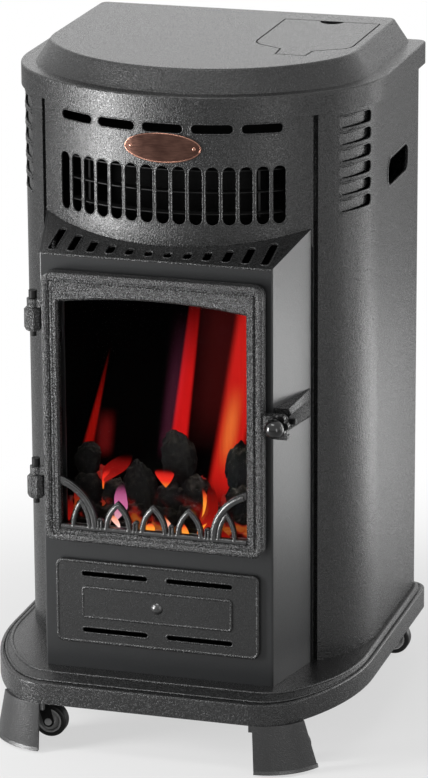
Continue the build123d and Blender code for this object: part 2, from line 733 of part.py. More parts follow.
def castor_fork(x, y):
    """Folded fork: a crown on the kingpin and two cheeks down to the axle."""
    crown_r = 3 * KINGPIN_R
    outer = FORK_HALF_GAP + FORK_T
    crown = make_hull([*(Pos(x, y) * Circle(crown_r)).edges(),
                       *(Pos(x + TRAIL / 2, y) * Rectangle(TRAIL, 2 * outer)).edges()])
    shape = flat_plate(crown, FORK_CROWN_Z, FORK_CROWN_Z + FORK_T)
    boss = 2.6 * AXLE_R
    cheek = make_hull([*(Pos(x + TRAIL, WHEEL_R) * Circle(boss)).edges(),
                       *(Pos(x + TRAIL / 2, FORK_CROWN_Z) * Rectangle(TRAIL, 2 * FORK_T)).edges()])
    for side in SIDES:
        y0 = y + side * FORK_HALF_GAP
        y1 = y + side * outer
        shape += front_plate(cheek, min(y0, y1), max(y0, y1))
    shape -= rod((x, y, FORK_CROWN_Z - CUT), (x, y, FORK_CROWN_Z + CUT), KINGPIN_R + RUN)
    return shape - rod((x + TRAIL, y - CUT, WHEEL_R), (x + TRAIL, y + CUT, WHEEL_R), AXLE_R)


def castor_axle(x, y):
    """Axle with a head outside each fork cheek."""
    outer = FORK_HALF_GAP + FORK_T
    shape = rod((x + TRAIL, y - outer, WHEEL_R), (x + TRAIL, y + outer, WHEEL_R), AXLE_R)
    for side in SIDES:
        shape += rod((x + TRAIL, y + side * outer, WHEEL_R), (x + TRAIL, y + side * (outer + 1), WHEEL_R),
                     1.7 * AXLE_R)
    return shape


def castor_hub(x, y):
    """Wheel hub with a recessed web on both faces."""
    centre = (x + TRAIL, WHEEL_R)
    half = WHEEL_W / 2
    rim_r = WHEEL_R - TYRE_DEPTH
    boss_r = 2.4 * AXLE_R
    shape = rod((centre[0], y - half, centre[1]), (centre[0], y + half, centre[1]), rim_r)
    recess = Pos(*centre) * (Circle(rim_r - 2) - Circle(boss_r))
    shape -= front_plate(recess, y - half - 1, y - half / 3)
    shape -= front_plate(recess, y + half / 3, y + half + 1)
    return shape - rod((centre[0], y - CUT, centre[1]), (centre[0], y + CUT, centre[1]), AXLE_R + RUN)


def castor_tyre(x, y):
    """Solid tyre with rounded shoulders."""
    half = WHEEL_W / 2
    shape = rod((x + TRAIL, y - half, WHEEL_R), (x + TRAIL, y + half, WHEEL_R), WHEEL_R)
    shape = fillet(shape.edges(), TYRE_DEPTH / 2)
    return shape - rod((x + TRAIL, y - CUT, WHEEL_R), (x + TRAIL, y + CUT, WHEEL_R), WHEEL_R - TYRE_DEPTH)


# ---- side panels ----
def corner_plane(angle):
    """Plane that touches the wide front corner at an angle from the side, with its X to the rear."""
    a = math.radians(angle)
    return Plane(origin=(BODY.corner_x + CORNER_R * math.cos(a), BODY.corner_y - CORNER_R * math.sin(a), 0),
                 x_dir=(math.sin(a), math.cos(a), 0), z_dir=(math.cos(a), -math.sin(a), 0))


def louvre_cutter(front, rear, half_h, z, radius):
    """Prism through the corner's sheet whose round-cornered outline lies square to a louvre's middle."""
    return extrude(corner_plane(LOUVRE_ANGLE) * rounded(-front, rear, z - half_h, z + half_h, radius), CUT / 3,
                   both=True)


def louvre_tongue(z):
    """Tongue left in a louvre's window: it grows from the front end and leans in towards the rear."""
    half_h = LOUVRE_H / 2 - LOUVRE_SLIT
    cutter = louvre_cutter(LOUVRE_REACH + LOUVRE_ROOT, LOUVRE_REACH - LOUVRE_END_GAP, half_h, z,
                           LOUVRE_R - LOUVRE_SLIT)
    pivot = corner_plane(2 * LOUVRE_ANGLE - LOUVRE_REAR_ANGLE).origin
    lean = math.asin(LOUVRE_IN / LOUVRE_L)
    dx = BODY.corner_x - pivot.X
    dy = BODY.corner_y - pivot.Y
    middle = (pivot.X + dx * math.cos(lean) - dy * math.sin(lean),
              pivot.Y + dx * math.sin(lean) + dy * math.cos(lean))
    ring = Pos(*middle) * (Circle(CORNER_R) - Circle(CORNER_R - SIDE_SHEET))
    return flat_plate(ring, z - half_h, z + half_h) & cutter


def side_section():
    """Plan of the right side panel: a seam return and tuck at the front, a return at the back."""
    seam = bow_angle(SIDE_SEAM_X)
    far = bow_point(3 * BOW_R, seam)
    back_x = BODY_HALF_W - SIDE_BACK_RETURN
    keep = outline([(0, BODY.cy), far, (2 * far[0], far[1]), (2 * far[0], 2 * BODY_BACK),
                    (back_x, 2 * BODY_BACK),
                    (back_x, BODY_BACK / 2)])
    ring = BODY.face() - BODY.inset(SIDE_SHEET).face()
    skin = ring & keep
    sheet_angle = math.degrees(SIDE_SHEET / BOW_R)
    tuck_r = BOW_R - SIDE_RETURN
    skin += bow_sector(tuck_r - SIDE_SHEET, BOW_R - SIDE_SHEET / 2, seam, seam + sheet_angle)
    skin += bow_sector(tuck_r - SIDE_SHEET, tuck_r, seam - SIDE_TUCK, seam + sheet_angle)
    return skin


def side_panel(side):
    """Wrap-round side panel with its louvres and its rimmed hand hole."""
    shape = flat_plate(side_section(), BASE_Z, BODY_TOP)
    for i in range(LOUVRES):
        z = BODY_TOP - LOUVRE_DROP - i * LOUVRE_PITCH
        shape -= louvre_cutter(LOUVRE_REACH, LOUVRE_REACH, LOUVRE_H / 2, z, LOUVRE_R)
        shape += louvre_tongue(z)
    z1 = BODY_TOP - HAND_DROP
    z0 = z1 - HAND_H
    hole = rounded(HAND_Y0, HAND_Y1, z0, z1, HAND_R)
    lip = rounded(HAND_Y0 - SIDE_SHEET, HAND_Y1 + SIDE_SHEET, z0 - SIDE_SHEET, z1 + SIDE_SHEET,
                  HAND_R + SIDE_SHEET)
    shape += side_plate(lip, BODY_HALF_W - HAND_LIP, BODY_HALF_W)
    shape -= side_plate(hole, BODY_HALF_W - CUT, BODY_HALF_W + CUT)
    return shape if side > 0 else mirror(shape, about=Plane.YZ)


# ---- upper front panel and badge ----
def bow_slot(arc, z, width, height):
    """Cutter for a slot with round ends, square to the bow."""
    turn = 90 if height > width else 0
    slot = SlotOverall(max(width, height), min(width, height), rotation=turn)
    return extrude(bow_plane(arc, z) * slot, CUT / 2, both=True)


def badge_screw_hole(arc):
    return extrude(bow_plane(arc, BODY_TOP - BADGE_DROP) * Circle(BADGE_RIVET_R + RUN), CUT / 2, both=True)


def upper_front_panel():
    """Bowed panel above the firebox, with wide slots over a row of upright ones."""
    seam = bow_angle(PANEL_SEAM_X)
    edge = math.degrees(PANEL_T / BOW_R)
    inner = BOW_R - PANEL_T
    shape = flat_plate(bow_sector(inner, BOW_R, -seam, seam), FACE_TOP, BODY_TOP)
    shape += flat_plate(bow_sector(BOW_R - PANEL_RETURN, inner, seam - edge, seam), FACE_TOP, BODY_TOP)
    shape += flat_plate(bow_sector(BOW_R - PANEL_RETURN, inner, -seam, edge - seam), FACE_TOP, BODY_TOP)
    shape += flat_plate(bow_sector(BOW_R - PANEL_TOP_FLANGE, inner, edge - seam, seam - edge),
                        BODY_TOP - PANEL_T, BODY_TOP)
    shape = split(shape, bisect_by=GRILLE_PLANE.offset(SEAT), keep=Keep.TOP)
    for i in range(LOWER_SLOTS):
        arc = (i - (LOWER_SLOTS - 1) / 2) * LOWER_SLOT_PITCH
        shape -= bow_slot(arc, BODY_TOP - LOWER_SLOT_DROP, LOWER_SLOT_W, LOWER_SLOT_H)
    for i in (-2, -1, 0, 1, 2):
        shape -= bow_slot(i * UPPER_SLOT_PITCH, BODY_TOP - UPPER_SLOT_DROP, UPPER_SLOT_W, UPPER_SLOT_H)
    for side in SIDES:
        shape -= badge_screw_hole(side * BADGE_RIVET_ARC)
    return shape


def badge_plate():
    """Oval plate that follows the bow."""
    sheet = flat_plate(bow_sector(BOW_R + SEAT, BOW_R + SEAT + BADGE_T, -bow_angle(BADGE_W),
                                  bow_angle(BADGE_W)),
                       BODY_TOP - BADGE_DROP - BADGE_H, BODY_TOP - BADGE_DROP + BADGE_H)
    oval = front_plate(Pos(0, BODY_TOP - BADGE_DROP) * Ellipse(BADGE_W / 2, BADGE_H / 2), BODY_APEX - CUT,
                       BODY.cy)
    shape = sheet & oval
    for side in SIDES:
        shape -= badge_screw_hole(side * BADGE_RIVET_ARC)
    return shape


def badge_rivets():
    """Domed rivet at each end of the badge."""
    solids = []
    for side in SIDES:
        plane = bow_plane(side * BADGE_RIVET_ARC, BODY_TOP - BADGE_DROP).offset(BADGE_T + 2 * SEAT)
        solids.append(domed_screw(plane, 1.7 * BADGE_RIVET_R, 0.8 * BADGE_RIVET_R, BADGE_RIVET_R,
                                  BADGE_T + PANEL_T))
    return Compound(children=solids)


# ---- firebox surround ----
def firebox_surround():
    """Face plate and splayed cheeks folded from one sheet, with the fire and air openings."""
    rear_in = CHEEK_REAR_X - CHEEK_T
    flange_y = CHEEK_REAR_Y + CHEEK_FLANGE
    back_y = FACE_Y + FACE_T
    fold_y = FACE_Y + (rear_in - cheek_x(FACE_Y, CHEEK_T)) / math.tan(CHEEK_TILT)
    half = [(FACE_HALF_W, FACE_Y), (CHEEK_REAR_X, CHEEK_REAR_Y), (CHEEK_REAR_X, flange_y),
            (rear_in, flange_y), (rear_in, fold_y), (cheek_x(back_y, CHEEK_T), back_y)]
    section = outline(half + [(-x, y) for x, y in reversed(half)])
    folds = section.vertices().filter_by_position(Axis.Y, FACE_Y - SEAT, FACE_Y + SEAT)
    section = fillet(folds, CHEEK_T)
    shape = flat_plate(section, BASE_Z, FACE_TOP + CUT)
    shape = split(shape, bisect_by=GRILLE_PLANE, keep=Keep.BOTTOM)
    shape -= grille_sheet(0, -GRILLE_T - SEAT, CUT)
    fire = rounded(-FIRE_HALF_W, FIRE_HALF_W, FIRE_BOTTOM, FIRE_TOP, FIRE_R)
    inlet = rounded(-VENT_SLOT_OUT - VENT_R, VENT_SLOT_OUT + VENT_R, VENT_BOTTOM + VENT_R,
                    VENT_TOP - VENT_R, VENT_R)
    shape -= front_plate(fire, FACE_Y - CUT, FACE_Y + CUT)
    shape -= front_plate(inlet, FACE_Y - CUT, FACE_Y + CUT)
    shape += front_plate(rounded(-VENT_SCREW_R, VENT_SCREW_R, VENT_BOTTOM, VENT_TOP, VENT_SHANK_R), FACE_Y,
                         back_y)
    shape -= rod((0, FACE_Y - CUT, VENT_Z), (0, FACE_Y + CUT, VENT_Z), VENT_SHANK_R + RUN)
    for cutter in tab_screw_holes():
        shape -= cutter
    return shape


def grille_sheet(gap, low, high):
    """Sloping sheet from the face back to under the bow, between two offsets of its plane."""
    rear = CHEEK_REAR_Y
    half = [(cheek_x(FACE_Y, CHEEK_T) - gap, FACE_Y - gap), (cheek_x(rear, CHEEK_T) - gap, rear)]
    plan = outline(half + [(-x, y) for x, y in reversed(half)]) - Pos(0,
            BODY.cy) * Circle(BOW_R - GRILLE_UNDER)
    shape = flat_plate(plan, FACE_TOP - CUT, FACE_TOP + 2 * CUT)
    shape = split(shape, bisect_by=GRILLE_PLANE.offset(high), keep=Keep.BOTTOM)
    return split(shape, bisect_by=GRILLE_PLANE.offset(low), keep=Keep.TOP)


def top_grille():
    """Slotted plate that closes the firebox above; the slots run back to just short of the bow."""
    shape = grille_sheet(SEAT, -GRILLE_T, 0)
    for i in range(GRILLE_SLOTS):
        x = (i - (GRILLE_SLOTS - 1) / 2) * GRILLE_PITCH
        slot = rounded(x - GRILLE_SLOT_W / 2, x + GRILLE_SLOT_W / 2, FACE_Y + GRILLE_FRONT_LAND,
                       bow_y(x) - GRILLE_REAR_LAND, 0.4 * GRILLE_SLOT_W)
        shape -= flat_plate(slot, FACE_TOP - CUT, FACE_TOP + 2 * CUT)
    return shape


def lower_vent_panel():
    """Raised panel below the door, with four slots and a raised middle band."""
    front = FACE_Y - SEAT - VENT_PROUD
    back = FACE_Y - SEAT
    shape = front_plate(rounded(-VENT_HALF_W, VENT_HALF_W, VENT_BOTTOM, VENT_TOP, VENT_R), front, back)
    shape = chamfer(shape.faces().sort_by(Axis.Y)[0].edges(), VENT_WALL / 2)
    band = front_plate(rounded(-VENT_SLOT_OUT, VENT_SLOT_OUT, VENT_Z - VENT_BAND_H / 2,
                               VENT_Z + VENT_BAND_H / 2,
                               VENT_R / 2), front - VENT_BAND_T, front + VENT_WALL)
    shape += chamfer(band.faces().sort_by(Axis.Y)[0].edges(), VENT_BAND_T / 2)
    hollow = rounded(-VENT_HALF_W + VENT_WALL, VENT_HALF_W - VENT_WALL, VENT_BOTTOM + VENT_WALL,
                     VENT_TOP - VENT_WALL, VENT_R - VENT_WALL)
    shape -= front_plate(hollow, front + VENT_WALL, back + SEAT)
    for z in (VENT_BOTTOM + VENT_SLOT_MARGIN, VENT_TOP - VENT_SLOT_MARGIN):
        for side in SIDES:
            middle = side * (VENT_SLOT_IN + VENT_SLOT_OUT) / 2
            slot = Pos(middle, z) * SlotOverall(VENT_SLOT_OUT - VENT_SLOT_IN, VENT_SLOT_H)
            shape -= front_plate(slot, front - CUT, back)
    return shape - rod((0, front - CUT, VENT_Z), (0, back, VENT_Z), VENT_SHANK_R + RUN)


# ---- hinges ----
HINGE_BOTTOMS = (DOOR_BOTTOM + HINGE_INSET_BOTTOM, DOOR_TOP - HINGE_INSET_TOP - HINGE_H)


def knuckle_bottom(z):
    """Underside of the door's knuckle on a hinge whose foot is at z."""
    return z + HINGE_H - HINGE_HEAD_H - SLIP - KNUCKLE_H


def tab_plane(y, z):
    """Plane on the left cheek's outer face, facing out."""
    return Plane(origin=(-cheek_x(y), y, z), x_dir=(-math.sin(CHEEK_TILT), math.cos(CHEEK_TILT), 0),
                 z_dir=(-math.cos(CHEEK_TILT), -math.sin(CHEEK_TILT), 0))


def tab_centre(z):
    """Middle of the mounting tab of a hinge whose foot is at z."""
    return tab_plane(FACE_Y + TAB_L / 2, knuckle_bottom(z) - SLIP - BLOCK_H / 2)


def tab_screw_holes():
    cutters = []
    for z in HINGE_BOTTOMS:
        plane = tab_centre(z)
        for side in SIDES:
            hole = Pos(TAB_L / 5, side * TAB_H / 4) * Circle(TAB_SCREW_R + RUN)
            cutters.append(extrude(plane * hole, CUT / 3, both=True))
    return cutters


def hinge_brackets():
    """Faceted block on each hinge pin, with a tab along the left cheek."""
    solids = []
    for z in HINGE_BOTTOMS:
        top = knuckle_bottom(z) - SLIP
        bottom = top - BLOCK_H
        octagon = Pos(HINGE_X, HINGE_Y) * RegularPolygon(BLOCK_R, 8, rotation=22.5)
        small = Pos(HINGE_X, HINGE_Y) * RegularPolygon(BLOCK_R - BLOCK_TAPER / 2, 8, rotation=22.5)
        shape = flat_plate(octagon, bottom + BLOCK_TAPER, top - BLOCK_TAPER / 2)
        shape += loft([Pos(0, 0, bottom) * small, Pos(0, 0, bottom + BLOCK_TAPER) * octagon], ruled=True)
        shape += loft([Pos(0, 0, top - BLOCK_TAPER / 2) * octagon, Pos(0, 0, top) * small], ruled=True)
        tab = extrude(tab_centre(z).offset(SEAT) * rounded(-TAB_L, TAB_L / 2, -TAB_H / 2, TAB_H / 2, SLIP),
                      TAB_T)
        shape += tab - flat_plate(Pos(-CUT / 2, HINGE_Y - CUT / 2) * Rectangle(4 * CUT, CUT), z,
                                  z + HINGE_H)
        shape -= rod((HINGE_X, HINGE_Y, z), (HINGE_X, HINGE_Y, z + HINGE_H), HINGE_PIN_R + RUN)
        for cutter in tab_screw_holes():
            shape -= cutter
        solids.append(shape)
    return Compound(children=solids)


def hinge_pins():
    """Door hinge pins with their heads, and the flap's pin."""
    solids = []
    for z in HINGE_BOTTOMS:
        head = z + HINGE_H - HINGE_HEAD_H
        shape = rod((HINGE_X, HINGE_Y, z), (HINGE_X, HINGE_Y, head), HINGE_PIN_R)
        solids.append(shape + rod((HINGE_X, HINGE_Y, head), (HINGE_X, HINGE_Y, z + HINGE_H), HINGE_HEAD_R))
    left, right = flap_lug_spans()
    solids.append(rod((left[0] - 1, FLAP_AXIS_Y, FLAP_AXIS_Z), (right[1] + 1, FLAP_AXIS_Y, FLAP_AXIS_Z),
                      FLAP_PIN_R))
    return Compound(children=solids)


# ---- door ----
def door_outline(grow=0.0):
    return rounded(-DOOR_HALF_W - grow, DOOR_HALF_W + grow, DOOR_BOTTOM - grow, DOOR_TOP + grow,
                   DOOR_R + grow)


def window_outline(grow=0.0):
    """Window with an arched head."""
    w = WINDOW_HALF_W + grow
    z0 = WINDOW_BOTTOM - grow
    z1 = WINDOW_TOP + grow
    return make_face([Line((-w, z0), (w, z0)), Line((w, z0), (w, z1)),
                      ThreePointArc((w, z1), (0, z1 + WINDOW_ARCH), (-w, z1)), Line((-w, z1), (-w, z0))])


def glass_pocket(gap):
    """Outline of the glass, or of its rebate, which is a gap larger."""
    lap = GLASS_LAP + gap
    return rounded(-WINDOW_HALF_W - lap, WINDOW_HALF_W + lap, WINDOW_BOTTOM - lap,
                   WINDOW_TOP + WINDOW_ARCH + lap, GLASS_LAP / 2)


def door_frame():
    """Cast door: banded frame, arched window, glass rebate, hinge knuckles and latch ear."""
    shape = front_plate(door_outline(), DOOR_FRONT, DOOR_BACK)
    shape = fillet(shape.faces().sort_by(Axis.Y)[0].edges(), TEXTURE_EDGE)
    groove = door_outline(-DOOR_BAND) - door_outline(-DOOR_BAND - DOOR_GROOVE_W)
    shape -= front_plate(groove, DOOR_FRONT - 1, DOOR_FRONT + DOOR_GROOVE_D)
    for z in HINGE_BOTTOMS:
        low = knuckle_bottom(z)
        shape += rod((HINGE_X, HINGE_Y, low), (HINGE_X, HINGE_Y, low + KNUCKLE_H), KNUCKLE_R)
        shape += block(HINGE_X, DOOR_BAND - DOOR_HALF_W, HINGE_Y - KNUCKLE_ARM_T / 2,
                       HINGE_Y + KNUCKLE_ARM_T / 2,
                       low, low + KNUCKLE_H)
        shape -= rod((HINGE_X, HINGE_Y, low - 1), (HINGE_X, HINGE_Y, low + KNUCKLE_H + 1),
                     HINGE_PIN_R + RUN)
    ear = make_hull([*(Pos(LATCH_X, LATCH_HEIGHT) * Circle(EAR_R)).edges(),
                     *(Pos(DOOR_HALF_W - DOOR_BAND / 2, LATCH_HEIGHT) * Rectangle(DOOR_BAND,
            2 * EAR_R)).edges()])
    shape += front_plate(ear, DOOR_FRONT + SLIP, DOOR_BACK)
    shape -= rod((LATCH_X, DOOR_FRONT - CUT, LATCH_HEIGHT), (LATCH_X, DOOR_BACK + CUT, LATCH_HEIGHT),
                 LATCH_SHAFT_R + RUN)
    bevel_back = Plane.XZ.offset(-DOOR_FRONT - WINDOW_BEVEL)
    bevel_front = Plane.XZ.offset(-DOOR_FRONT + SLIP)
    grow = WINDOW_BEVEL * (1 + SLIP / WINDOW_BEVEL)
    shape -= loft([bevel_front * window_outline(grow), bevel_back * window_outline()], ruled=True)
    shape -= front_plate(window_outline(), DOOR_FRONT - 1, DOOR_BACK + 1)
    shape -= front_plate(glass_pocket(SEAT), DOOR_BACK - GLASS_T - SEAT, DOOR_BACK + 1)
    for x, z in clip_places():
        shape -= rod((x, DOOR_BACK - CLIP_L / 2 - 1, z), (x, DOOR_BACK + 1, z), CLIP_T + RUN)
    return shape


def door_glass():
    return front_plate(glass_pocket(-SEAT), DOOR_BACK - GLASS_T, DOOR_BACK)


def clip_places():
    """Screw centres of the glass clips: three down each side."""
    x = WINDOW_HALF_W + GLASS_LAP + 2 * CLIP_T + SEAT
    rise = (WINDOW_TOP - WINDOW_BOTTOM) / 3
    return [(side * x, WINDOW_BOTTOM + rise * (i + 0.5)) for side in SIDES for i in range(3)]


def glass_clips():
    """Clips that hold the glass in its rebate, each on a screw."""
    solids = []
    for x, z in clip_places():
        side = math.copysign(1, x)
        inner = x - side * (CLIP_L - 2 * CLIP_T)
        outer = x + side * 2 * CLIP_T
        shape = front_plate(rounded(min(inner, outer), max(inner, outer), z - CLIP_W / 2, z + CLIP_W / 2,
                                    CLIP_T),
                            DOOR_BACK, DOOR_BACK + CLIP_T)
        shape += rod((x, DOOR_BACK - CLIP_L / 2, z), (x, DOOR_BACK + CLIP_T, z), CLIP_T)
        shape += rod((x, DOOR_BACK + CLIP_T, z), (x, DOOR_BACK + 1.9 * CLIP_T, z), 1.8 * CLIP_T)
        solids.append(shape)
    return Compound(children=solids)


def door_seal():
    """Rope seal round the back of the door, pressed almost against the face."""
    ring = door_outline(-SEAL_INSET) - door_outline(-SEAL_INSET - SEAL_W)
    shape = front_plate(ring, DOOR_BACK, FACE_Y - SEAL_SQUASH_GAP)
    return fillet(shape.faces().sort_by(Axis.Y)[-1].edges(), SEAL_W / 5)


def pointed_arch(x, width, height, foot):
    """Pointed arch over a foot line, drawn with one arc each side."""
    r = (width ** 2 / 4 + height ** 2) / width
    lean = math.atan2(height, r - width / 2)
    middle = math.pi - lean / 2
    left = (x - width / 2 + r + r * math.cos(middle), foot + r * math.sin(middle))
    right = (2 * x - left[0], left[1])
    apex = (x, foot + height)
    return make_face([Line((x - width / 2, foot), (x + width / 2, foot)),
                      ThreePointArc((x + width / 2, foot), right, apex),
                      ThreePointArc(apex, left, (x - width / 2, foot))])


def arch_bar(x, width, height, foot, bar):
    """Bar bent to a pointed arch."""
    inner_w = width - 2 * bar
    r = (width ** 2 / 4 + height ** 2) / width
    inner_h = math.sqrt((r - bar) ** 2 - (r - width / 2) ** 2)
    return pointed_arch(x, width, height, foot) - pointed_arch(x, inner_w, inner_h, foot)


def door_tracery():
    """Cast tracery across the foot of the window: base bar, pointed arches, posts and half-arches."""
    foot = WINDOW_BOTTOM + TRACERY_SILL
    edge = WINDOW_HALF_W - SEAT
    sketch = Pos(0, (WINDOW_BOTTOM + foot) / 2) * Rectangle(2 * edge, TRACERY_SILL - 2 * SEAT)
    root = foot - TRACERY_SILL / 3
    for i in (-1, 0, 1):
        sketch += arch_bar(i * ARCH_PITCH, ARCH_W, ARCH_H + foot - root, root, ARCH_BAR)
    for i in (-1.5, -0.5, 0.5, 1.5):
        post = Pos(i * ARCH_PITCH, root + POST_H / 2) * SlotOverall(POST_H + POST_W, POST_W, rotation=90)
        sketch += post
    window = Pos(0, foot + SIDE_ARCH_H / 2) * Rectangle(2 * edge, SIDE_ARCH_H + 2 * TRACERY_SILL)
    for side in SIDES:
        apex_x = side * WINDOW_HALF_W
        big = arch_bar(apex_x, 2 * SIDE_ARCH_FOOT, SIDE_ARCH_H + foot - root, root, SIDE_ARCH_BAR)
        small_h = SIDE_ARCH_H * 0.6
        small = arch_bar(apex_x - side * 2 * SIDE_TWIG_FOOT, 2 * SIDE_TWIG_FOOT, small_h, root,
                         SIDE_TWIG_BAR)
        sketch += (big + small) & window
    y0 = DOOR_FRONT + TRACERY_FRONT
    sketch &= Pos(0, foot + SIDE_ARCH_H / 2 - TRACERY_SILL + SEAT) * Rectangle(2 * edge,
            SIDE_ARCH_H + 2 * TRACERY_SILL)
    return front_plate(sketch, y0, y0 + TRACERY_T)


# ---- latch ----
def latch_spindle():
    """Shaft with a lobed collar in front of the ear, and a tongue and nut behind it."""
    centre = (LATCH_X, LATCH_HEIGHT)
    collar_back = DOOR_FRONT
    collar_front = collar_back - COLLAR_T
    tongue_front = DOOR_BACK + SLIP
    tongue_back = tongue_front + TONGUE_T
    lobed = Pos(*centre) * Circle(COLLAR_R)
    for i in range(COLLAR_LOBES):
        angle = 2 * math.pi * i / COLLAR_LOBES
        lobe_x = centre[0] + (COLLAR_R - 1) * math.cos(angle)
        lobe_z = centre[1] + (COLLAR_R - 1) * math.sin(angle)
        lobed += Pos(lobe_x, lobe_z) * Circle(COLLAR_LOBE_R)
    shape = front_plate(lobed, collar_front, collar_back)
    shape += rod((centre[0], collar_front - NECK_L, centre[1]), (centre[0], collar_front, centre[1]),
                 NECK_R)
    shape += rod((centre[0], collar_front, centre[1]), (centre[0], tongue_back + LATCH_NUT_T, centre[1]),
                 LATCH_SHAFT_R)
    tongue = Pos(centre[0] + TONGUE_L / 2, centre[1]) * Rectangle(TONGUE_L, 2 * TONGUE_HALF_W)
    shape += front_plate(tongue + Pos(*centre) * Circle(LATCH_NUT_R), tongue_front, tongue_back)
    nut = Pos(*centre) * RegularPolygon(LATCH_NUT_R, 6)
    return shape + front_plate(nut, tongue_back, tongue_back + LATCH_NUT_T)


def latch_ball():
    """Ball grip with a socket for the neck."""
    neck_front = DOOR_FRONT - COLLAR_T - NECK_L
    socket = NECK_L - SLIP
    centre_y = neck_front + socket - math.sqrt(BALL_R ** 2 - NECK_R ** 2)
    shape = Pos(LATCH_X, centre_y, LATCH_HEIGHT) * Sphere(BALL_R)
    return shape - rod((LATCH_X, neck_front - SEAT, LATCH_HEIGHT),
                       (LATCH_X, neck_front + CUT, LATCH_HEIGHT), NECK_R + RUN)


def latch_keeper():
    """Wedge on the right cheek that tapers to nothing at the back, and the catch for the tongue."""
    front_y = FACE_Y + KEEPER_FRONT
    rear_y = CHEEK_REAR_Y - 1
    top = LATCH_HEIGHT + KEEPER_RISE
    bottom = top - KEEPER_H
    gap = SEAT / math.cos(CHEEK_TILT)
    front_x = cheek_x(front_y) + gap
    rear_x = cheek_x(rear_y) + gap
    front = outline([(front_x, bottom), (front_x + KEEPER_OUT - KEEPER_SHOULDER, top - KEEPER_RISE / 2),
                     (front_x + KEEPER_OUT - KEEPER_SHOULDER - KEEPER_LEAN, top), (front_x, top)])
    rear = outline([(rear_x, bottom + CATCH_T), (rear_x + KEEPER_TAIL, top - KEEPER_RISE),
                    (rear_x + KEEPER_TAIL, top), (rear_x, top)])
    shape = loft([Plane.XZ.offset(-front_y) * front, Plane.XZ.offset(-rear_y) * rear], ruled=True)
    catch_top = LATCH_HEIGHT - EAR_R - CATCH_DROP
    catch_bottom = catch_top - CATCH_H
    catch_back = DOOR_BACK - SEAT
    x0 = LATCH_X - CATCH_W / 2
    x1 = LATCH_X + CATCH_W / 2
    shape += block(x0, x1, catch_back - CATCH_T, catch_back, catch_bottom, catch_top)
    shape += block(x0, x1, catch_back - CATCH_T, front_y + 1, catch_bottom, catch_bottom + CATCH_ARM_H)
    return shape


# ---- lid, flap and control tray ----
def lid_top():
    """Lid: overhanging apron and ledge, a bevelled crown and the opening for the flap."""
    inner = Plan(FLANGE.half_w - APRON_T, FLANGE.back - APRON_T, FLANGE.bow_r - APRON_T,
                 FLANGE.apex + APRON_T,
                 FLANGE.corner_r - APRON_T, FLANGE.back_r - APRON_T)
    rim = extrude(FLANGE.face(APRON_BOTTOM), APRON_H)
    rim = fillet(rim.edges().filter_by_position(Axis.Z, LEDGE_TOP - SEAT, LEDGE_TOP + SEAT), LID_EDGE_R)
    crown = loft([CROWN_FOOT.face(LEDGE_TOP - SEAT), CROWN.face(LID_TOP)], ruled=True)
    crown = fillet(crown.edges().filter_by_position(Axis.Z, LID_TOP - SEAT, LID_TOP + SEAT), CROWN_EDGE_R)
    shape = rim + crown
    shape -= extrude(inner.face(APRON_BOTTOM - 1), APRON_H - LEDGE_T + 1)
    hollow_foot = CROWN_FOOT.inset(1.2 * CROWN_T)
    hollow_top = CROWN.inset(1.2 * CROWN_T)
    shape -= loft([hollow_foot.face(LEDGE_TOP - LEDGE_T - SEAT), hollow_top.face(LID_UNDER)], ruled=True)
    shape -= flat_plate(flap_outline(FLAP_GAP), LID_UNDER - 1, LID_TOP + 1)
    for x0, x1 in flap_lug_spans():
        lug = block(x0, x1, FLAP_AXIS_Y - FLAP_BARREL_R, FLAP_AXIS_Y + FLAP_BARREL_R, FLAP_AXIS_Z,
                    LID_UNDER + SEAT)
        shape += lug + rod((x0, FLAP_AXIS_Y, FLAP_AXIS_Z), (x1, FLAP_AXIS_Y, FLAP_AXIS_Z), FLAP_BARREL_R)
        shape -= rod((x0 - 1, FLAP_AXIS_Y, FLAP_AXIS_Z), (x1 + 1, FLAP_AXIS_Y, FLAP_AXIS_Z),
                     FLAP_PIN_R + RUN)
    return shape


def flap_outline(grow=0.0):
    """Outline of the flap, with a hinge tab in front; the finger notch is left out when it is grown."""
    points = [(FLAP_LEFT, FLAP_BACK), (FLAP_LEFT, FLAP_CHEEK_Y), (FLAP_TAB_LEFT, FLAP_SHOULDER),
              (FLAP_TAB_LEFT + FLAP_TAB_TAPER, FLAP_TAB_FRONT),
              (FLAP_TAB_RIGHT - FLAP_TAB_TAPER, FLAP_TAB_FRONT),
              (FLAP_TAB_RIGHT, FLAP_SHOULDER - FLAP_SLANT), (FLAP_RIGHT, FLAP_CHEEK_Y),
              (FLAP_RIGHT, FLAP_BACK)]
    face = outline(points)
    corners = [v for v in face.vertices() if abs(v.Y - FLAP_CHEEK_Y) < SEAT]
    face = fillet(corners, FLAP_CORNER_R)
    if grow > 0:
        return offset(face, grow)
    middle = (FLAP_LEFT + FLAP_RIGHT) / 2
    return face - Pos(middle, FLAP_BACK) * Circle(FLAP_NOTCH_R)


def flap_lug_spans():
    """X ranges of the two lugs beside the flap's barrel."""
    left = FLAP_TAB_LEFT - SLIP
    right = FLAP_TAB_RIGHT + SLIP
    return ((left - FLAP_LUG_T, left), (right, right + FLAP_LUG_T))


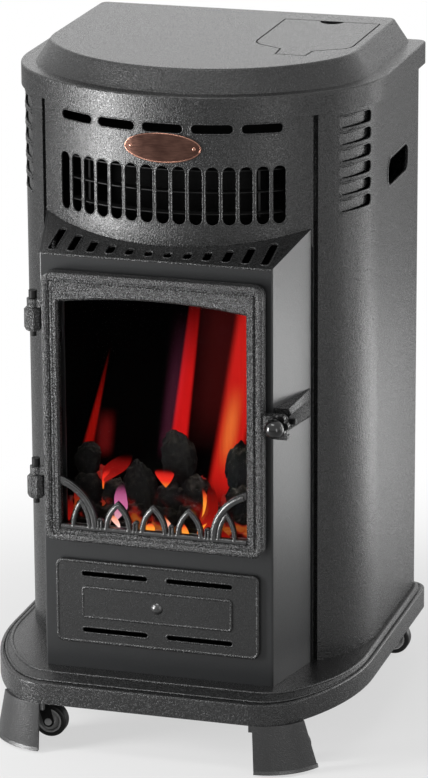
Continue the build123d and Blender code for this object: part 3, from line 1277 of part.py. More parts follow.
def control_flap():
    """Flap over the control knob, hinged on a barrel below its front tab."""
    shape = flat_plate(flap_outline(), LID_TOP - FLAP_T, LID_TOP)
    x0 = FLAP_TAB_LEFT + FLAP_TAB_TAPER
    x1 = FLAP_TAB_RIGHT - FLAP_TAB_TAPER
    shape += rod((x0, FLAP_AXIS_Y, FLAP_AXIS_Z), (x1, FLAP_AXIS_Y, FLAP_AXIS_Z), FLAP_BARREL_R)
    shape += block(x0, x1, FLAP_AXIS_Y - FLAP_PIN_R, FLAP_AXIS_Y + FLAP_PIN_R, FLAP_AXIS_Z,
                   LID_TOP - FLAP_T + SEAT)
    return shape - rod((x0 - 1, FLAP_AXIS_Y, FLAP_AXIS_Z), (x1 + 1, FLAP_AXIS_Y, FLAP_AXIS_Z),
                       FLAP_PIN_R + RUN)


def tray_plan(grow):
    """Plan of the control tray: the flap's outline grown, and wider round the hinge lugs."""
    (left, _), (_, right) = flap_lug_spans()
    front = FLAP_TAB_FRONT - grow
    bay = Pos((left + right) / 2, (front + FLAP_SHOULDER) / 2) * Rectangle(right - left + 2 * grow,
            FLAP_SHOULDER - front)
    return flap_outline(grow) + bay


def control_tray():
    """Open tray that hangs under the lid and holds the knob and the igniter."""
    shape = flat_plate(tray_plan(TRAY_MARGIN), TRAY_FLOOR - TRAY_T, LID_UNDER - SEAT)
    shape -= flat_plate(tray_plan(TRAY_MARGIN - TRAY_T), TRAY_FLOOR, LID_TOP)
    shape -= rod((KNOB_X, KNOB_Y, TRAY_FLOOR - CUT), (KNOB_X, KNOB_Y, TRAY_FLOOR + 1), VALVE_NECK_R + SEAT)
    return shape - rod((IGNITER_X, IGNITER_Y, TRAY_FLOOR - CUT), (IGNITER_X, IGNITER_Y, TRAY_FLOOR + 1),
                       IGNITER_R + SEAT)


def gas_valve():
    """Valve body under the tray, with a neck and nut through its floor."""
    shape = block(KNOB_X - VALVE_W / 2, KNOB_X + VALVE_W / 2, KNOB_Y - VALVE_D / 2, KNOB_Y + VALVE_D / 2,
                  VALVE_BOTTOM, VALVE_TOP)
    shape = fillet(shape.edges().filter_by(Axis.Z), VALVE_DROP / 3)
    neck_top = TRAY_FLOOR + VALVE_NUT_T
    shape += rod((KNOB_X, KNOB_Y, VALVE_TOP), (KNOB_X, KNOB_Y, neck_top), VALVE_NECK_R)
    shape += rod((KNOB_X, KNOB_Y, TRAY_FLOOR + SEAT), (KNOB_X, KNOB_Y, neck_top), VALVE_NUT_R)
    shape += rod((KNOB_X, KNOB_Y, VALVE_TOP), (KNOB_X, KNOB_Y, TRAY_FLOOR - TRAY_T - SEAT), VALVE_NUT_R)
    shape -= rod((KNOB_X, KNOB_Y, spindle_foot() - 1), (KNOB_X, KNOB_Y, neck_top + 1), SPINDLE_R + RUN)
    front = KNOB_Y - VALVE_D / 2
    return shape - rod((PIPE_X, front - 1, PIPE_Z), (PIPE_X, front + PIPE_R, PIPE_Z), PIPE_R + RUN)


def spindle_foot():
    return TRAY_FLOOR + SPINDLE_TOP - SPINDLE_L


def valve_spindle():
    """Spindle with a flat near its top that turns the knob."""
    top = TRAY_FLOOR + SPINDLE_TOP
    shape = rod((KNOB_X, KNOB_Y, spindle_foot()), (KNOB_X, KNOB_Y, top), SPINDLE_R)
    return shape - spindle_flat(0)


def spindle_flat(gap):
    """The part of the round that the flat takes away, from just above the nut."""
    x = KNOB_X + SPINDLE_R * 0.6 + gap
    z = TRAY_FLOOR + VALVE_NUT_T + 1
    return block(x, x + SPINDLE_R, KNOB_Y - SPINDLE_R - 1, KNOB_Y + SPINDLE_R + 1, z, z + CUT)


def control_knob():
    """Fluted knob, hollow below to clear the nut."""
    bottom = TRAY_FLOOR + KNOB_LIFT
    top = bottom + KNOB_H
    profile = Pos(KNOB_X, KNOB_Y) * Circle(KNOB_R)
    for i in range(KNOB_FLUTES):
        angle = 2 * math.pi * i / KNOB_FLUTES
        reach = KNOB_R + KNOB_FLUTE_OUT
        profile -= Pos(KNOB_X + reach * math.cos(angle),
                       KNOB_Y + reach * math.sin(angle)) * Circle(KNOB_FLUTE_R)
    shape = flat_plate(profile, bottom + KNOB_EDGE, top - KNOB_EDGE)
    shape += rod((KNOB_X, KNOB_Y, bottom), (KNOB_X, KNOB_Y, top), KNOB_R - KNOB_EDGE)
    shape -= rod((KNOB_X, KNOB_Y, bottom - 1), (KNOB_X, KNOB_Y, bottom + KNOB_RECESS_H), KNOB_RECESS_R)
    bore_top = TRAY_FLOOR + SPINDLE_TOP + KNOB_PUSH + 1
    bore = rod((KNOB_X, KNOB_Y, bottom), (KNOB_X, KNOB_Y, bore_top), SPINDLE_R + RUN)
    return shape - (bore - spindle_flat(RUN))


def igniter_body():
    """Igniter barrel clamped in the tray floor by its flange and nut."""
    top = TRAY_FLOOR + VALVE_NUT_T
    bottom = top - IGNITER_L
    shape = rod((IGNITER_X, IGNITER_Y, bottom), (IGNITER_X, IGNITER_Y, top), IGNITER_R)
    shape += rod((IGNITER_X, IGNITER_Y, TRAY_FLOOR + SEAT), (IGNITER_X, IGNITER_Y, top), IGNITER_FLANGE_R)
    under = TRAY_FLOOR - TRAY_T - SEAT
    shape += rod((IGNITER_X, IGNITER_Y, under - VALVE_NUT_T), (IGNITER_X, IGNITER_Y, under),
                 IGNITER_FLANGE_R)
    button_foot = top + BUTTON_PROUD - BUTTON_L
    return shape - rod((IGNITER_X, IGNITER_Y, button_foot - IGNITER_TRAVEL - 1),
                       (IGNITER_X, IGNITER_Y, top + 1),
                       BUTTON_R + RUN)


def igniter_button():
    top = TRAY_FLOOR + VALVE_NUT_T + BUTTON_PROUD
    shape = rod((IGNITER_X, IGNITER_Y, top - BUTTON_L), (IGNITER_X, IGNITER_Y, top), BUTTON_R)
    return fillet(shape.edges().group_by(Axis.Z)[-1], BUTTON_R / 4)


def feed_pipe():
    """Gas pipe from the valve, down beside the cylinder bay and through the shield to the burner."""
    path = FilletPolyline((PIPE_X, KNOB_Y - VALVE_D / 2 + PIPE_R / 2, PIPE_Z),
                          (PIPE_X, PIPE_DOWN_Y, PIPE_Z),
                          (PIPE_X, PIPE_DOWN_Y, BURNER_Z), (PIPE_X, BURNER_Y, BURNER_Z),
                          (TRAY_HALF_W + SEAT, BURNER_Y, BURNER_Z), radius=PIPE_BEND_R)
    start = Plane(origin=path @ 0, z_dir=path % 0)
    return sweep(start * Circle(PIPE_R), path=path)


def hose_tail():
    """Barbed tail on the valve's left face."""
    x0 = KNOB_X - VALVE_W / 2 - SEAT
    z = PIPE_Z
    shape = rod((x0, KNOB_Y, z), (x0 - HOSE_L, KNOB_Y, z), HOSE_TIP_R)
    shape += rod((x0, KNOB_Y, z), (x0 - HOSE_COLLAR_L, KNOB_Y, z), HOSE_COLLAR_R)
    pitch = (HOSE_L - HOSE_BARB_START - HOSE_TIP_L) / HOSE_BARBS
    for i in range(HOSE_BARBS):
        start = x0 - HOSE_BARB_START - i * pitch
        barb = Plane(origin=(start, KNOB_Y, z), z_dir=(-1, 0, 0))
        shape += loft([barb * Circle(HOSE_R), barb.offset(pitch * 0.7) * Circle(HOSE_TIP_R)])
    return shape - rod((x0 + 1, KNOB_Y, z), (x0 - HOSE_L - 1, KNOB_Y, z), HOSE_BORE_R)


# ---- firebox interior ----
def heat_shield():
    """Folded shield between the fire and the cylinder, stepped back behind the upper front panel."""
    front = SHIELD_Y - SHIELD_T
    half_w = cheek_x(front - SHIELD_FLANGE, CHEEK_T) - 3 * SEAT
    jog_top = SHIELD_JOG_Z + SHIELD_T
    upper_front = SHIELD_UPPER_Y - SHIELD_T
    shape = block(-half_w, half_w, front, SHIELD_Y, BASE_Z, jog_top)
    shape += block(-half_w, half_w, front, SHIELD_UPPER_Y, SHIELD_JOG_Z, jog_top)
    shape += block(-half_w, half_w, upper_front, SHIELD_UPPER_Y, SHIELD_JOG_Z, SHIELD_TOP)
    shape += block(-half_w, half_w, front - SHIELD_FLANGE, SHIELD_Y, BASE_Z, BASE_Z + SHIELD_T)
    for side in SIDES:
        x0 = min(side * half_w, side * (half_w - SHIELD_T))
        shape += block(x0, x0 + SHIELD_T, front - SHIELD_FLANGE, SHIELD_Y, BASE_Z, SHIELD_JOG_Z)
    return shape - rod((PIPE_X, front - CUT / 2, BURNER_Z), (PIPE_X, SHIELD_Y + CUT / 2, BURNER_Z),
                       PIPE_R + SEAT)


def firebox_liner():
    """Sheet box round the fire, open in front and above."""
    shape = block(-LINER_HALF_W, LINER_HALF_W, LINER_FRONT, LINER_BACK, LINER_BOTTOM, LINER_TOP)
    shape -= block(-LINER_HALF_W + LINER_T, LINER_HALF_W - LINER_T, LINER_FRONT - 1, LINER_BACK - LINER_T,
                   LINER_BOTTOM + LINER_T, LINER_TOP + 1)
    side = PIPE_R + SEAT
    return shape - block(LINER_HALF_W - CUT / 4, LINER_HALF_W + CUT / 4, BURNER_Y - side,
                         BURNER_Y + PIPE_BEND_R - side, BURNER_Z - side, BURNER_Z + side)


def reflector():
    """Bright curved sheet behind the coals."""
    back = LINER_BACK - LINER_T - REFLECTOR_GAP
    ends = back - REFLECTOR_SAG
    outer = ThreePointArc((-REFLECTOR_HALF_W, ends), (0, back), (REFLECTOR_HALF_W, ends))
    inner = ThreePointArc((-REFLECTOR_HALF_W, ends - REFLECTOR_T), (0, back - REFLECTOR_T),
                          (REFLECTOR_HALF_W, ends - REFLECTOR_T))
    plan = make_face([outer, inner, Line(outer @ 0, inner @ 0), Line(outer @ 1, inner @ 1)])
    return flat_plate(plan, REFLECTOR_BOTTOM, REFLECTOR_TOP)


def burner_tray():
    """Pan on the liner floor, with the burner tube along it."""
    x = TRAY_HALF_W
    z0 = BURNER_TRAY_BOTTOM
    t = LINER_T
    shape = block(-x, x, BURNER_TRAY_FRONT, BURNER_TRAY_BACK, z0, BURNER_TRAY_TOP)
    shape -= block(-x + t, x - t, BURNER_TRAY_FRONT + t, BURNER_TRAY_BACK - t, z0 + t, BURNER_TRAY_TOP + 1)
    for side in SIDES:
        foot_x = side * x * BURNER_FOOT_AT
        shape += block(foot_x - BURNER_FOOT_W / 2, foot_x + BURNER_FOOT_W / 2, BURNER_TRAY_FRONT,
                       BURNER_TRAY_BACK, LINER_BOTTOM + LINER_T + SEAT, z0 + t)
    return shape + rod((-x, BURNER_Y, BURNER_Z), (x, BURNER_Y, BURNER_Z), BURNER_TUBE_R)


COALS = [
    # x in tray half widths, then in coal radii: y from the tray's middle, height over its rim,
    # half width, half depth and half height; last the tilt in degrees
    (-0.83, -0.30, 0.70, 1.00, 0.70, 0.90, 20),
    (-0.55, -0.35, 0.60, 1.05, 0.70, 0.82, -15),
    (-0.26, -0.40, 0.75, 1.05, 0.70, 1.00, 25),
    (0.04, -0.35, 0.70, 1.05, 0.72, 0.95, -20),
    (0.34, -0.40, 0.90, 1.10, 0.70, 1.18, 30),
    (0.64, -0.35, 0.75, 1.05, 0.70, 1.05, -25),
    (0.87, -0.35, 0.65, 0.70, 0.65, 0.95, 10),
    (-0.83, -0.20, 2.25, 0.95, 0.58, 1.30, -12),
    (-0.53, -0.15, 2.00, 0.90, 0.58, 1.05, 25),
    (-0.24, -0.20, 2.35, 1.15, 0.62, 2.10, -8),
    (0.09, -0.15, 2.10, 1.00, 0.58, 1.30, 18),
    (0.40, -0.20, 2.35, 1.05, 0.60, 1.55, -20),
    (0.86, -0.25, 2.45, 0.90, 0.58, 1.40, 12),
    (-0.84, -0.20, 4.25, 0.90, 0.52, 1.20, 10),
    (0.17, -0.10, 4.80, 1.25, 0.58, 1.90, -8),
    (0.86, -0.25, 4.60, 0.95, 0.52, 1.75, 8),
]


def coal_bed():
    """Moulded ceramic coals on a slab that drops into the burner tray."""
    t = LINER_T + 2 * SEAT
    z1 = BURNER_TRAY_TOP + COAL_SLAB_H / 2
    shape = block(-TRAY_HALF_W + t, TRAY_HALF_W - t, BURNER_TRAY_FRONT + t, BURNER_TRAY_BACK - t,
                  z1 - COAL_SLAB_H, z1)
    middle_y = (BURNER_TRAY_FRONT + BURNER_TRAY_BACK) / 2
    for x, back, up, *half, tilt in COALS:
        place = Pos(x * TRAY_HALF_W, middle_y + back * COAL_R, BURNER_TRAY_TOP + up * COAL_R)
        shape += place * Rot(0, tilt, 0) * scale(Sphere(COAL_R), by=tuple(half))
    return shape


def pilot_assembly():
    """Pilot burner, igniter electrode and thermocouple on a bracket at the left of the coals."""
    x0 = -TRAY_HALF_W - PILOT_OUT - PILOT_W / 2
    x1 = x0 + PILOT_W
    z0 = LINER_BOTTOM + LINER_T + SEAT
    y0 = BURNER_TRAY_FRONT + PILOT_W / 2
    y1 = y0 + PILOT_D
    shape = block(x0, x1, y0, y1, z0, z0 + PILOT_T)
    shape += block(x0, x0 + PILOT_T, y0, y1, z0, z0 + PILOT_H)
    shape += block(x0, x1, y0, y1, z0 + PILOT_H - PILOT_T, z0 + PILOT_H)
    stem_x = x0 + PILOT_W / 2 + 1
    for i, radius in enumerate(PILOT_STEM_R):
        stem_y = y0 + PILOT_W / 2 + PILOT_STEM_PITCH * i
        foot = z0 + PILOT_STEM_Z
        shape += rod((stem_x, stem_y, foot), (stem_x, stem_y, foot + PILOT_STEM_L + PILOT_STEM_STEP * i),
                     radius)
    return shape


def baffle_strips():
    """Curved strips behind the upright slots, carried by two posts on the shield."""
    post_front = bow_y(BAFFLE_POST_X, BAFFLE_R - BAFFLE_DEPTH / 2)
    z0 = BODY_TOP - LOWER_SLOT_DROP - BAFFLE_PITCH
    shape = None
    for i in range(BAFFLE_COUNT):
        strip = flat_plate(bow_sector(BAFFLE_R - BAFFLE_DEPTH, BAFFLE_R, -BAFFLE_ANGLE, BAFFLE_ANGLE),
                           z0 + i * BAFFLE_PITCH, z0 + i * BAFFLE_PITCH + BAFFLE_T)
        shape = strip if shape is None else shape + strip
    upper_front = SHIELD_UPPER_Y - SHIELD_T
    for side in SIDES:
        x = side * BAFFLE_POST_X
        shape += block(x - BAFFLE_T, x + BAFFLE_T, post_front, upper_front - SEAT, z0 - BAFFLE_POST_OVER,
                       z0 + (BAFFLE_COUNT - 1) * BAFFLE_PITCH + BAFFLE_POST_OVER)
    return shape


# ---- base pan and back ----
def base_pan():
    """Shelf that the gas cylinder stands on, cut to the cabinet, with a lip along both sides."""
    rear = CHEEK_REAR_Y
    half = [(cheek_x(PAN_FRONT, CHEEK_T) - SLIP, PAN_FRONT), (cheek_x(rear, CHEEK_T) - SLIP, rear)]
    between_cheeks = outline(half + [(-x, y) for x, y in reversed(half)])
    inside = BODY.inset(SIDE_RETURN + 2 * SIDE_SHEET).face() + between_cheeks
    middle = Pos(0, (PAN_FRONT + PAN_BACK) / 2)
    plan = inside & middle * Rectangle(2 * PAN_HALF_W, PAN_BACK - PAN_FRONT)
    shape = flat_plate(plan, BASE_Z, PAN_TOP)
    for side in SIDES:
        x0 = min(side * PAN_HALF_W, side * (PAN_HALF_W - PAN_T))
        shape += block(x0, x0 + PAN_T, BODY.corner_y, PAN_BACK, BASE_Z, PAN_TOP + PAN_LIP)
    return shape


def rear_frame():
    """Frame behind the side panels' back returns, with the opening for the cylinder."""
    back = BODY_BACK - SIDE_SHEET - SEAT
    half_w = BODY_HALF_W - SIDE_SHEET - BACK_R
    top = BODY_TOP - SEAT
    shape = block(-half_w, half_w, back - REAR_FRAME_T, back, BASE_Z, top)
    return shape - block(-REAR_OPENING_HALF_W, REAR_OPENING_HALF_W, back - CUT, back + CUT,
                         BASE_Z + REAR_RAIL,
                         APRON_BOTTOM - REAR_RAIL)


def rear_panel():
    """Lift-off panel with vent slots and a recessed pull."""
    y0 = BODY_BACK - SIDE_SHEET + SEAT
    y1 = y0 + REAR_PANEL_T
    half_w = BODY_HALF_W - SIDE_BACK_RETURN - SLIP
    z0 = BASE_Z + REAR_PANEL_MARGIN
    z1 = APRON_BOTTOM - REAR_TOP_GAP
    shape = front_plate(rounded(-half_w, half_w, z0, z1, REAR_PANEL_MARGIN), y0, y1)
    for i in range(REAR_VENTS):
        z = z0 + REAR_RAIL + REAR_VENT_PITCH * (i + 1)
        for side in SIDES:
            slot = Pos(side * REAR_VENT_W * REAR_VENT_OUT, z) * SlotOverall(REAR_VENT_W, REAR_VENT_H)
            shape -= front_plate(slot, y0 - 1, y1 + 1)
    pull_z = z1 - REAR_PULL_DROP * REAR_PULL_H
    wall = REAR_PANEL_T
    cup = rounded(-REAR_PULL_W / 2 - wall, REAR_PULL_W / 2 + wall, pull_z - wall,
                  pull_z + REAR_PULL_H + wall, REAR_PULL_R + wall)
    shape += front_plate(cup, y0 - REAR_PULL_D, y1)
    hollow = rounded(-REAR_PULL_W / 2, REAR_PULL_W / 2, pull_z, pull_z + REAR_PULL_H, REAR_PULL_R)
    return shape - front_plate(hollow, y0 - REAR_PULL_D + wall, y1 + 1)


# ---- screws ----
def panel_screws():
    """Vent panel screw, and the screws of the hinge tabs."""
    vent_front = FACE_Y - SEAT - VENT_PROUD - VENT_BAND_T - SEAT / 2
    vent = Plane(origin=(0, vent_front, VENT_Z), x_dir=(1, 0, 0), z_dir=(0, -1, 0))
    solids = [domed_screw(vent, VENT_SCREW_R, VENT_SCREW_R / 2, VENT_SHANK_R,
                          VENT_PROUD + VENT_BAND_T + FACE_T)]
    for z in HINGE_BOTTOMS:
        plane = tab_centre(z).offset(SEAT + TAB_T + SEAT / 2)
        for side in SIDES:
            spot = plane.location * Pos(TAB_L / 5, side * TAB_H / 4)
            solids.append(domed_screw(Plane(spot), 2 * TAB_SCREW_R, TAB_SCREW_R, TAB_SCREW_R,
                                      TAB_T + CHEEK_T))
    return Compound(children=solids)


# ---- assembly ----
NODES = {
    "plinth": plinth(),
    "front_leg_left": front_leg(-1),
    "front_leg_right": front_leg(1),
    "castor_mounts": castor_mounts(),
    "base_pan": base_pan(),
    "side_panel_left": side_panel(-1),
    "side_panel_right": side_panel(1),
    "upper_front_panel": upper_front_panel(),
    "badge_plate": badge_plate(),
    "badge_rivets": badge_rivets(),
    "firebox_surround": firebox_surround(),
    "top_grille": top_grille(),
    "lower_vent_panel": lower_vent_panel(),
    "lid_top": lid_top(),
    "control_tray": control_tray(),
    "gas_valve": gas_valve(),
    "igniter_body": igniter_body(),
    "feed_pipe": feed_pipe(),
    "hose_tail": hose_tail(),
    "hinge_brackets": hinge_brackets(),
    "hinge_pins": hinge_pins(),
    "firebox_liner": firebox_liner(),
    "reflector": reflector(),
    "coal_bed": coal_bed(),
    "burner_tray": burner_tray(),
    "pilot_assembly": pilot_assembly(),
    "heat_shield": heat_shield(),
    "baffle_strips": baffle_strips(),
    "rear_frame": rear_frame(),
    "rear_panel": rear_panel(),
    "latch_keeper": latch_keeper(),
    "panel_screws": panel_screws(),
    "door_frame": door_frame(),
    "door_tracery": door_tracery(),
    "door_glass": door_glass(),
    "glass_clips": glass_clips(),
    "door_seal": door_seal(),
    "latch_spindle": latch_spindle(),
    "latch_ball": latch_ball(),
    "control_flap": control_flap(),
    "valve_spindle": valve_spindle(),
    "control_knob": control_knob(),
    "igniter_button": igniter_button(),
}
for name, (x, y) in CASTORS.items():
    NODES[f"castor_fork_{name}"] = castor_fork(x, y)
    NODES[f"castor_axle_{name}"] = castor_axle(x, y)
    NODES[f"castor_hub_{name}"] = castor_hub(x, y)
    NODES[f"castor_tyre_{name}"] = castor_tyre(x, y)

os.makedirs("parts", exist_ok=True)
for name, shape in NODES.items():
    export_step(shape, f"parts/{name}.step")
    print(name, len(shape.solids()), round(shape.volume))
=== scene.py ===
import math

import bpy
from mathutils import Matrix, Vector, noise


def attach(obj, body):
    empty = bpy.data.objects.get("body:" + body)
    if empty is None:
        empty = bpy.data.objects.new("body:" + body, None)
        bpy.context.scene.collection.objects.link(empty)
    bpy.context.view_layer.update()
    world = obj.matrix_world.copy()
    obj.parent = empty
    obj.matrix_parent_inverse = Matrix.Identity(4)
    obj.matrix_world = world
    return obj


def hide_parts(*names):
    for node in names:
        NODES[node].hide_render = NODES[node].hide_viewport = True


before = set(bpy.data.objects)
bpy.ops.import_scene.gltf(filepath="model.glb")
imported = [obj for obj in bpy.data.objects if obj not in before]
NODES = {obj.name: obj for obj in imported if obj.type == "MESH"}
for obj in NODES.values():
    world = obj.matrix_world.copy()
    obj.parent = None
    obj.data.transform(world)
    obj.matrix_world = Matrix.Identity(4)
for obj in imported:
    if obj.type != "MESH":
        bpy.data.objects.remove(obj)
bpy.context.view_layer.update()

MM = 0.001
EASE = 0.6 * MM


# ---- camera ----
# The focal length and the shift are in pixels of a picture this high, the sensor in millimetres,
# the rest in metres and degrees.
PICTURE_H = 778
FOCAL = 4133.1
SHIFT_X, SHIFT_Y = 7.2, -7.8
YAW, PITCH, ROLL = 16.791, 17.212, -0.362
AIM = (0.0064, 0.009, 0.390)
DISTANCE = 4.8173
SENSOR = 36


def hang_camera():
    """A long lens on the cabinet's right front, a little above it."""
    yaw, pitch, roll = (math.radians(a) for a in (YAW, PITCH, ROLL))
    back = Vector((math.sin(yaw) * math.cos(pitch), -math.cos(yaw) * math.cos(pitch), math.sin(pitch)))
    right = Vector((math.cos(yaw), math.sin(yaw), 0))
    up = back.cross(right)
    right, up = (math.cos(roll) * right + math.sin(roll) * up,
                 math.cos(roll) * up - math.sin(roll) * right)
    camera = bpy.data.objects.new("camera", bpy.data.cameras.new("camera"))
    bpy.context.scene.collection.objects.link(camera)
    turn = Matrix((right, up, back)).transposed().to_4x4()
    camera.matrix_world = Matrix.Translation(Vector(AIM) + back * DISTANCE) @ turn
    camera.data.sensor_width = SENSOR
    camera.data.lens = FOCAL * SENSOR / PICTURE_H
    camera.data.shift_x = SHIFT_X / PICTURE_H
    camera.data.shift_y = SHIFT_Y / PICTURE_H
    camera.data.clip_start = 0.1
    camera.data.clip_end = 100
    bpy.context.scene.camera = camera


# ---- material maths ----
class Wire:
    """A value or colour on its way through a finish."""

    def __init__(self, finish, socket):
        self.finish = finish
        self.socket = socket

    def math(self, operation, *values):
        return self.finish.add("Math", {"operation": operation}, dict(enumerate(values)))

    def __add__(self, other):
        return self.math("ADD", self, other)

    def __sub__(self, other):
        return self.math("SUBTRACT", self, other)

    def __rsub__(self, other):
        return self.math("SUBTRACT", other, self)

    def __mul__(self, other):
        return self.math("MULTIPLY", self, other)

    def __truediv__(self, other):
        return self.math("DIVIDE", self, other)

    __radd__ = __add__

    def gap(self, other):
        """How far the value is from another."""
        return self.math("ABSOLUTE", self - other)

    def most(self, other):
        """The greater of the two."""
        return self.math("MAXIMUM", self, other)

    def ramp(self, low, high):
        """Smoothly from 0 at low to 1 at high."""
        return self.finish.add("MapRange", {"interpolation_type": "SMOOTHSTEP"}, {0: self, 1: low, 2: high})

    def stretch(self, x, y, z):
        return self.finish.add("VectorMath", {"operation": "MULTIPLY"}, {0: self, 1: (x, y, z)})

    def part(self, axis):
        """One of the vector's three numbers."""
        return self.finish.add("SeparateXYZ", {}, {0: self}, output=axis)


class Finish:
    """A material in the making."""

    def __init__(self, name):
        self.material = bpy.data.materials.new(name)
        self.material.use_nodes = True
        self.tree = self.material.node_tree
        self.tree.nodes.clear()
        self.place = self.add("TexCoord", {}, {}, output="Object")

    def add(self, kind, settings, values, output=0):
        """Adds a node, with its settings first, and gives back one of its outputs."""
        node = self.tree.nodes.new("ShaderNode" + kind)
        for key, value in settings.items():
            setattr(node, key, value)
        for key, value in values.items():
            if isinstance(value, Wire):
                self.tree.links.new(value.socket, node.inputs[key])
            else:
                node.inputs[key].default_value = value
        return Wire(self, node.outputs[output])

    def noise(self, size, detail=2.0, rough=0.5, at=None):
        """Cloudy noise whose lumps are about size millimetres across."""
        return self.add("TexNoise", {}, {"Vector": at or self.place, "Scale": 1 / (size * MM),
                                         "Detail": detail, "Roughness": rough})

    def cells(self, size):
        """Rounded cells about size millimetres across."""
        return self.add("TexVoronoi", {"feature": "SMOOTH_F1"},
                        {"Vector": self.place, "Scale": 1 / (size * MM)}, output="Distance")

    def mix(self, share, first, second):
        """From the first colour to the second."""
        return self.add("Mix", {"data_type": "RGBA"}, {0: share, 6: first, 7: second}, output=2)

    def screen(self, first, second):
        """One light over another."""
        return self.add("Mix", {"data_type": "RGBA", "blend_type": "SCREEN"}, {0: 1.0, 6: first, 7: second},
                        output=2)

    def bump(self, height, depth):
        """Relief as deep as depth millimetres. Edges are eased."""
        values = {"Height": height, "Distance": depth * MM}
        values["Normal"] = self.add("Bevel", {"samples": 4}, {"Radius": EASE})
        return self.add("Bump", {}, values)

    def shade(self, **values):
        """Ends in one principled shader."""
        keys = {key.replace("_", " "): value for key, value in values.items()}
        return self.end(self.add("BsdfPrincipled", {}, keys))

    def end(self, shader):
        out = self.tree.nodes.new("ShaderNodeOutputMaterial")
        self.tree.links.new(shader.socket, out.inputs["Surface"])
        return self.material


def grey(value, tint=0.0):
    """A grey, a little blue when tint is above 0."""
    return (value * (1 - tint), value, value * (1 + tint), 1.0)


# ---- finishes ----
def textured_paint(name, dark, light, grain, relief, gloss, fleck_and_glint=0.5, sheen=0.5):
    """Hammered or textured enamel: small raised grains, each catching the light, and pale flecks that are
    partly the enamel's own and partly painted glints.
    """
    f = Finish(name)
    fine = f.noise(grain, 2.0, 0.6)
    lumps = f.cells(grain * 1.5)
    broad = f.noise(60, 2.0)
    height = fine.ramp(0.35, 0.65) * 0.7 + (1 - lumps) * 0.3
    # The pale flecks are partly the enamel's own flecks and partly painted glints on its grains.
    tone = (fine.ramp(0.48, 0.7) + (broad - 0.5) * 0.2) * fleck_and_glint
    rough = gloss + (f.noise(grain * 0.8, 1.0) - 0.5) * 0.2
    return f.shade(Base_Color=f.mix(tone.ramp(0, 1), dark, light), Roughness=rough,
                   Specular_IOR_Level=sheen, Normal=f.bump(height, relief))


def brushed(name, colour, dark, along, gloss, smudge=0.25):
    """Rolled or brushed metal with fine streaks along one axis."""
    f = Finish(name)
    squeeze = [1.0, 1.0, 1.0]
    squeeze[along] = 0.04
    streak = f.noise(0.8, 2.0, at=f.place.stretch(*squeeze))
    cloud = f.noise(18, 3.0)
    tone = (streak * 0.5 + cloud * 0.5).ramp(0.3, 0.7)
    rough = gloss + (cloud - 0.5) * smudge + (streak - 0.5) * 0.1
    return f.shade(Base_Color=f.mix(tone, dark, colour), Roughness=rough, Metallic=1.0,
                   Normal=f.bump(streak, 0.03))


def moulded(name, colour, worn, gloss, relief=0.03, sheen=0.5):
    """Moulded plastic or rubber with a fine matt grain and faint scuffs."""
    f = Finish(name)
    grainy = f.noise(0.6, 2.0)
    scuff = f.noise(9, 4.0, 0.7)
    return f.shade(Base_Color=f.mix(scuff.ramp(0.5, 0.8), colour, worn),
                   Roughness=gloss + (scuff - 0.5) * 0.2, Specular_IOR_Level=sheen,
                   Normal=f.bump(grainy, relief))


PAINT = {
    # textured_paint: dark, light, grain and relief in millimetres, gloss, fleck_and_glint (pale flecks,
    # partly painted glints), sheen
    "body": textured_paint("body_enamel", grey(0.006, 0.02), grey(0.04, 0.02), 1.7, 0.28, 0.26, 0.9, 0.5),
    "satin": textured_paint("satin_enamel", grey(0.01, 0.05), grey(0.02, 0.05), 1.3, 0.05, 0.32, 0.6, 0.45),
    "panel": textured_paint("panel_enamel", grey(0.006, 0.02), grey(0.028, 0.02), 1.5, 0.13, 0.28, 0.8, 0.5),
    "cast": textured_paint("cast_enamel", grey(0.002, 0.02), grey(0.09, 0.02), 1.6, 0.65, 0.2, 1.0, 0.55),
    "rib": textured_paint("rib_enamel", grey(0.004, 0.02), grey(0.03, 0.02), 1.6, 0.14, 0.2, 0.8, 0.8),
    "leg": textured_paint("leg_enamel", grey(0.008, 0.02), grey(0.035, 0.02), 1.5, 0.15, 0.36, 0.6, 0.7),
    "dome": textured_paint("dome_enamel", grey(0.015), grey(0.06), 1.5, 0.1, 0.2, 0.6, 0.7),
    "black_steel": textured_paint("black_heatproof", grey(0.003), grey(0.012), 1.2, 0.06, 0.55, 0.5, 0.2),
    # Near black with almost no gloss, for the liner and heat shield of the firebox.
    "near_black": textured_paint("near_black", grey(0.001), grey(0.004), 1.2, 0.06, 0.8, 0.5, 0.05),
    # moulded: colour, worn colour, gloss, relief in millimetres, sheen
    "gloss": moulded("gloss_black", grey(0.004), grey(0.008), 0.16, 0.005, 0.5),
    "plastic": moulded("matt_black_plastic", grey(0.018), grey(0.04), 0.5),
    "grey_plastic": moulded("grey_plastic", grey(0.38), grey(0.48), 0.45),
    "rubber": moulded("tyre_rubber", grey(0.008), grey(0.02), 0.42, 0.04, 0.3),
    # brushed: colour, dark, axis of the streaks, gloss, smudge
    "zinc": brushed("zinc_plate", grey(0.6), grey(0.42), 0, 0.35),
    "brass": brushed("machined_brass", (0.62, 0.44, 0.16, 1), (0.42, 0.28, 0.09, 1), 2, 0.3),
    "badge": brushed("badge_brown", (0.22, 0.115, 0.088, 1), (0.11, 0.055, 0.043, 1), 0, 0.17, 0.08),
    "copper": brushed("brushed_copper", (0.36, 0.19, 0.14, 1), (0.2, 0.1, 0.075, 1), 0, 0.17, 0.08),
}


def castors(piece):
    """The names of one piece on all four castors."""
    return [piece + corner for corner in ("_fl", "_fr", "_bl", "_br")]


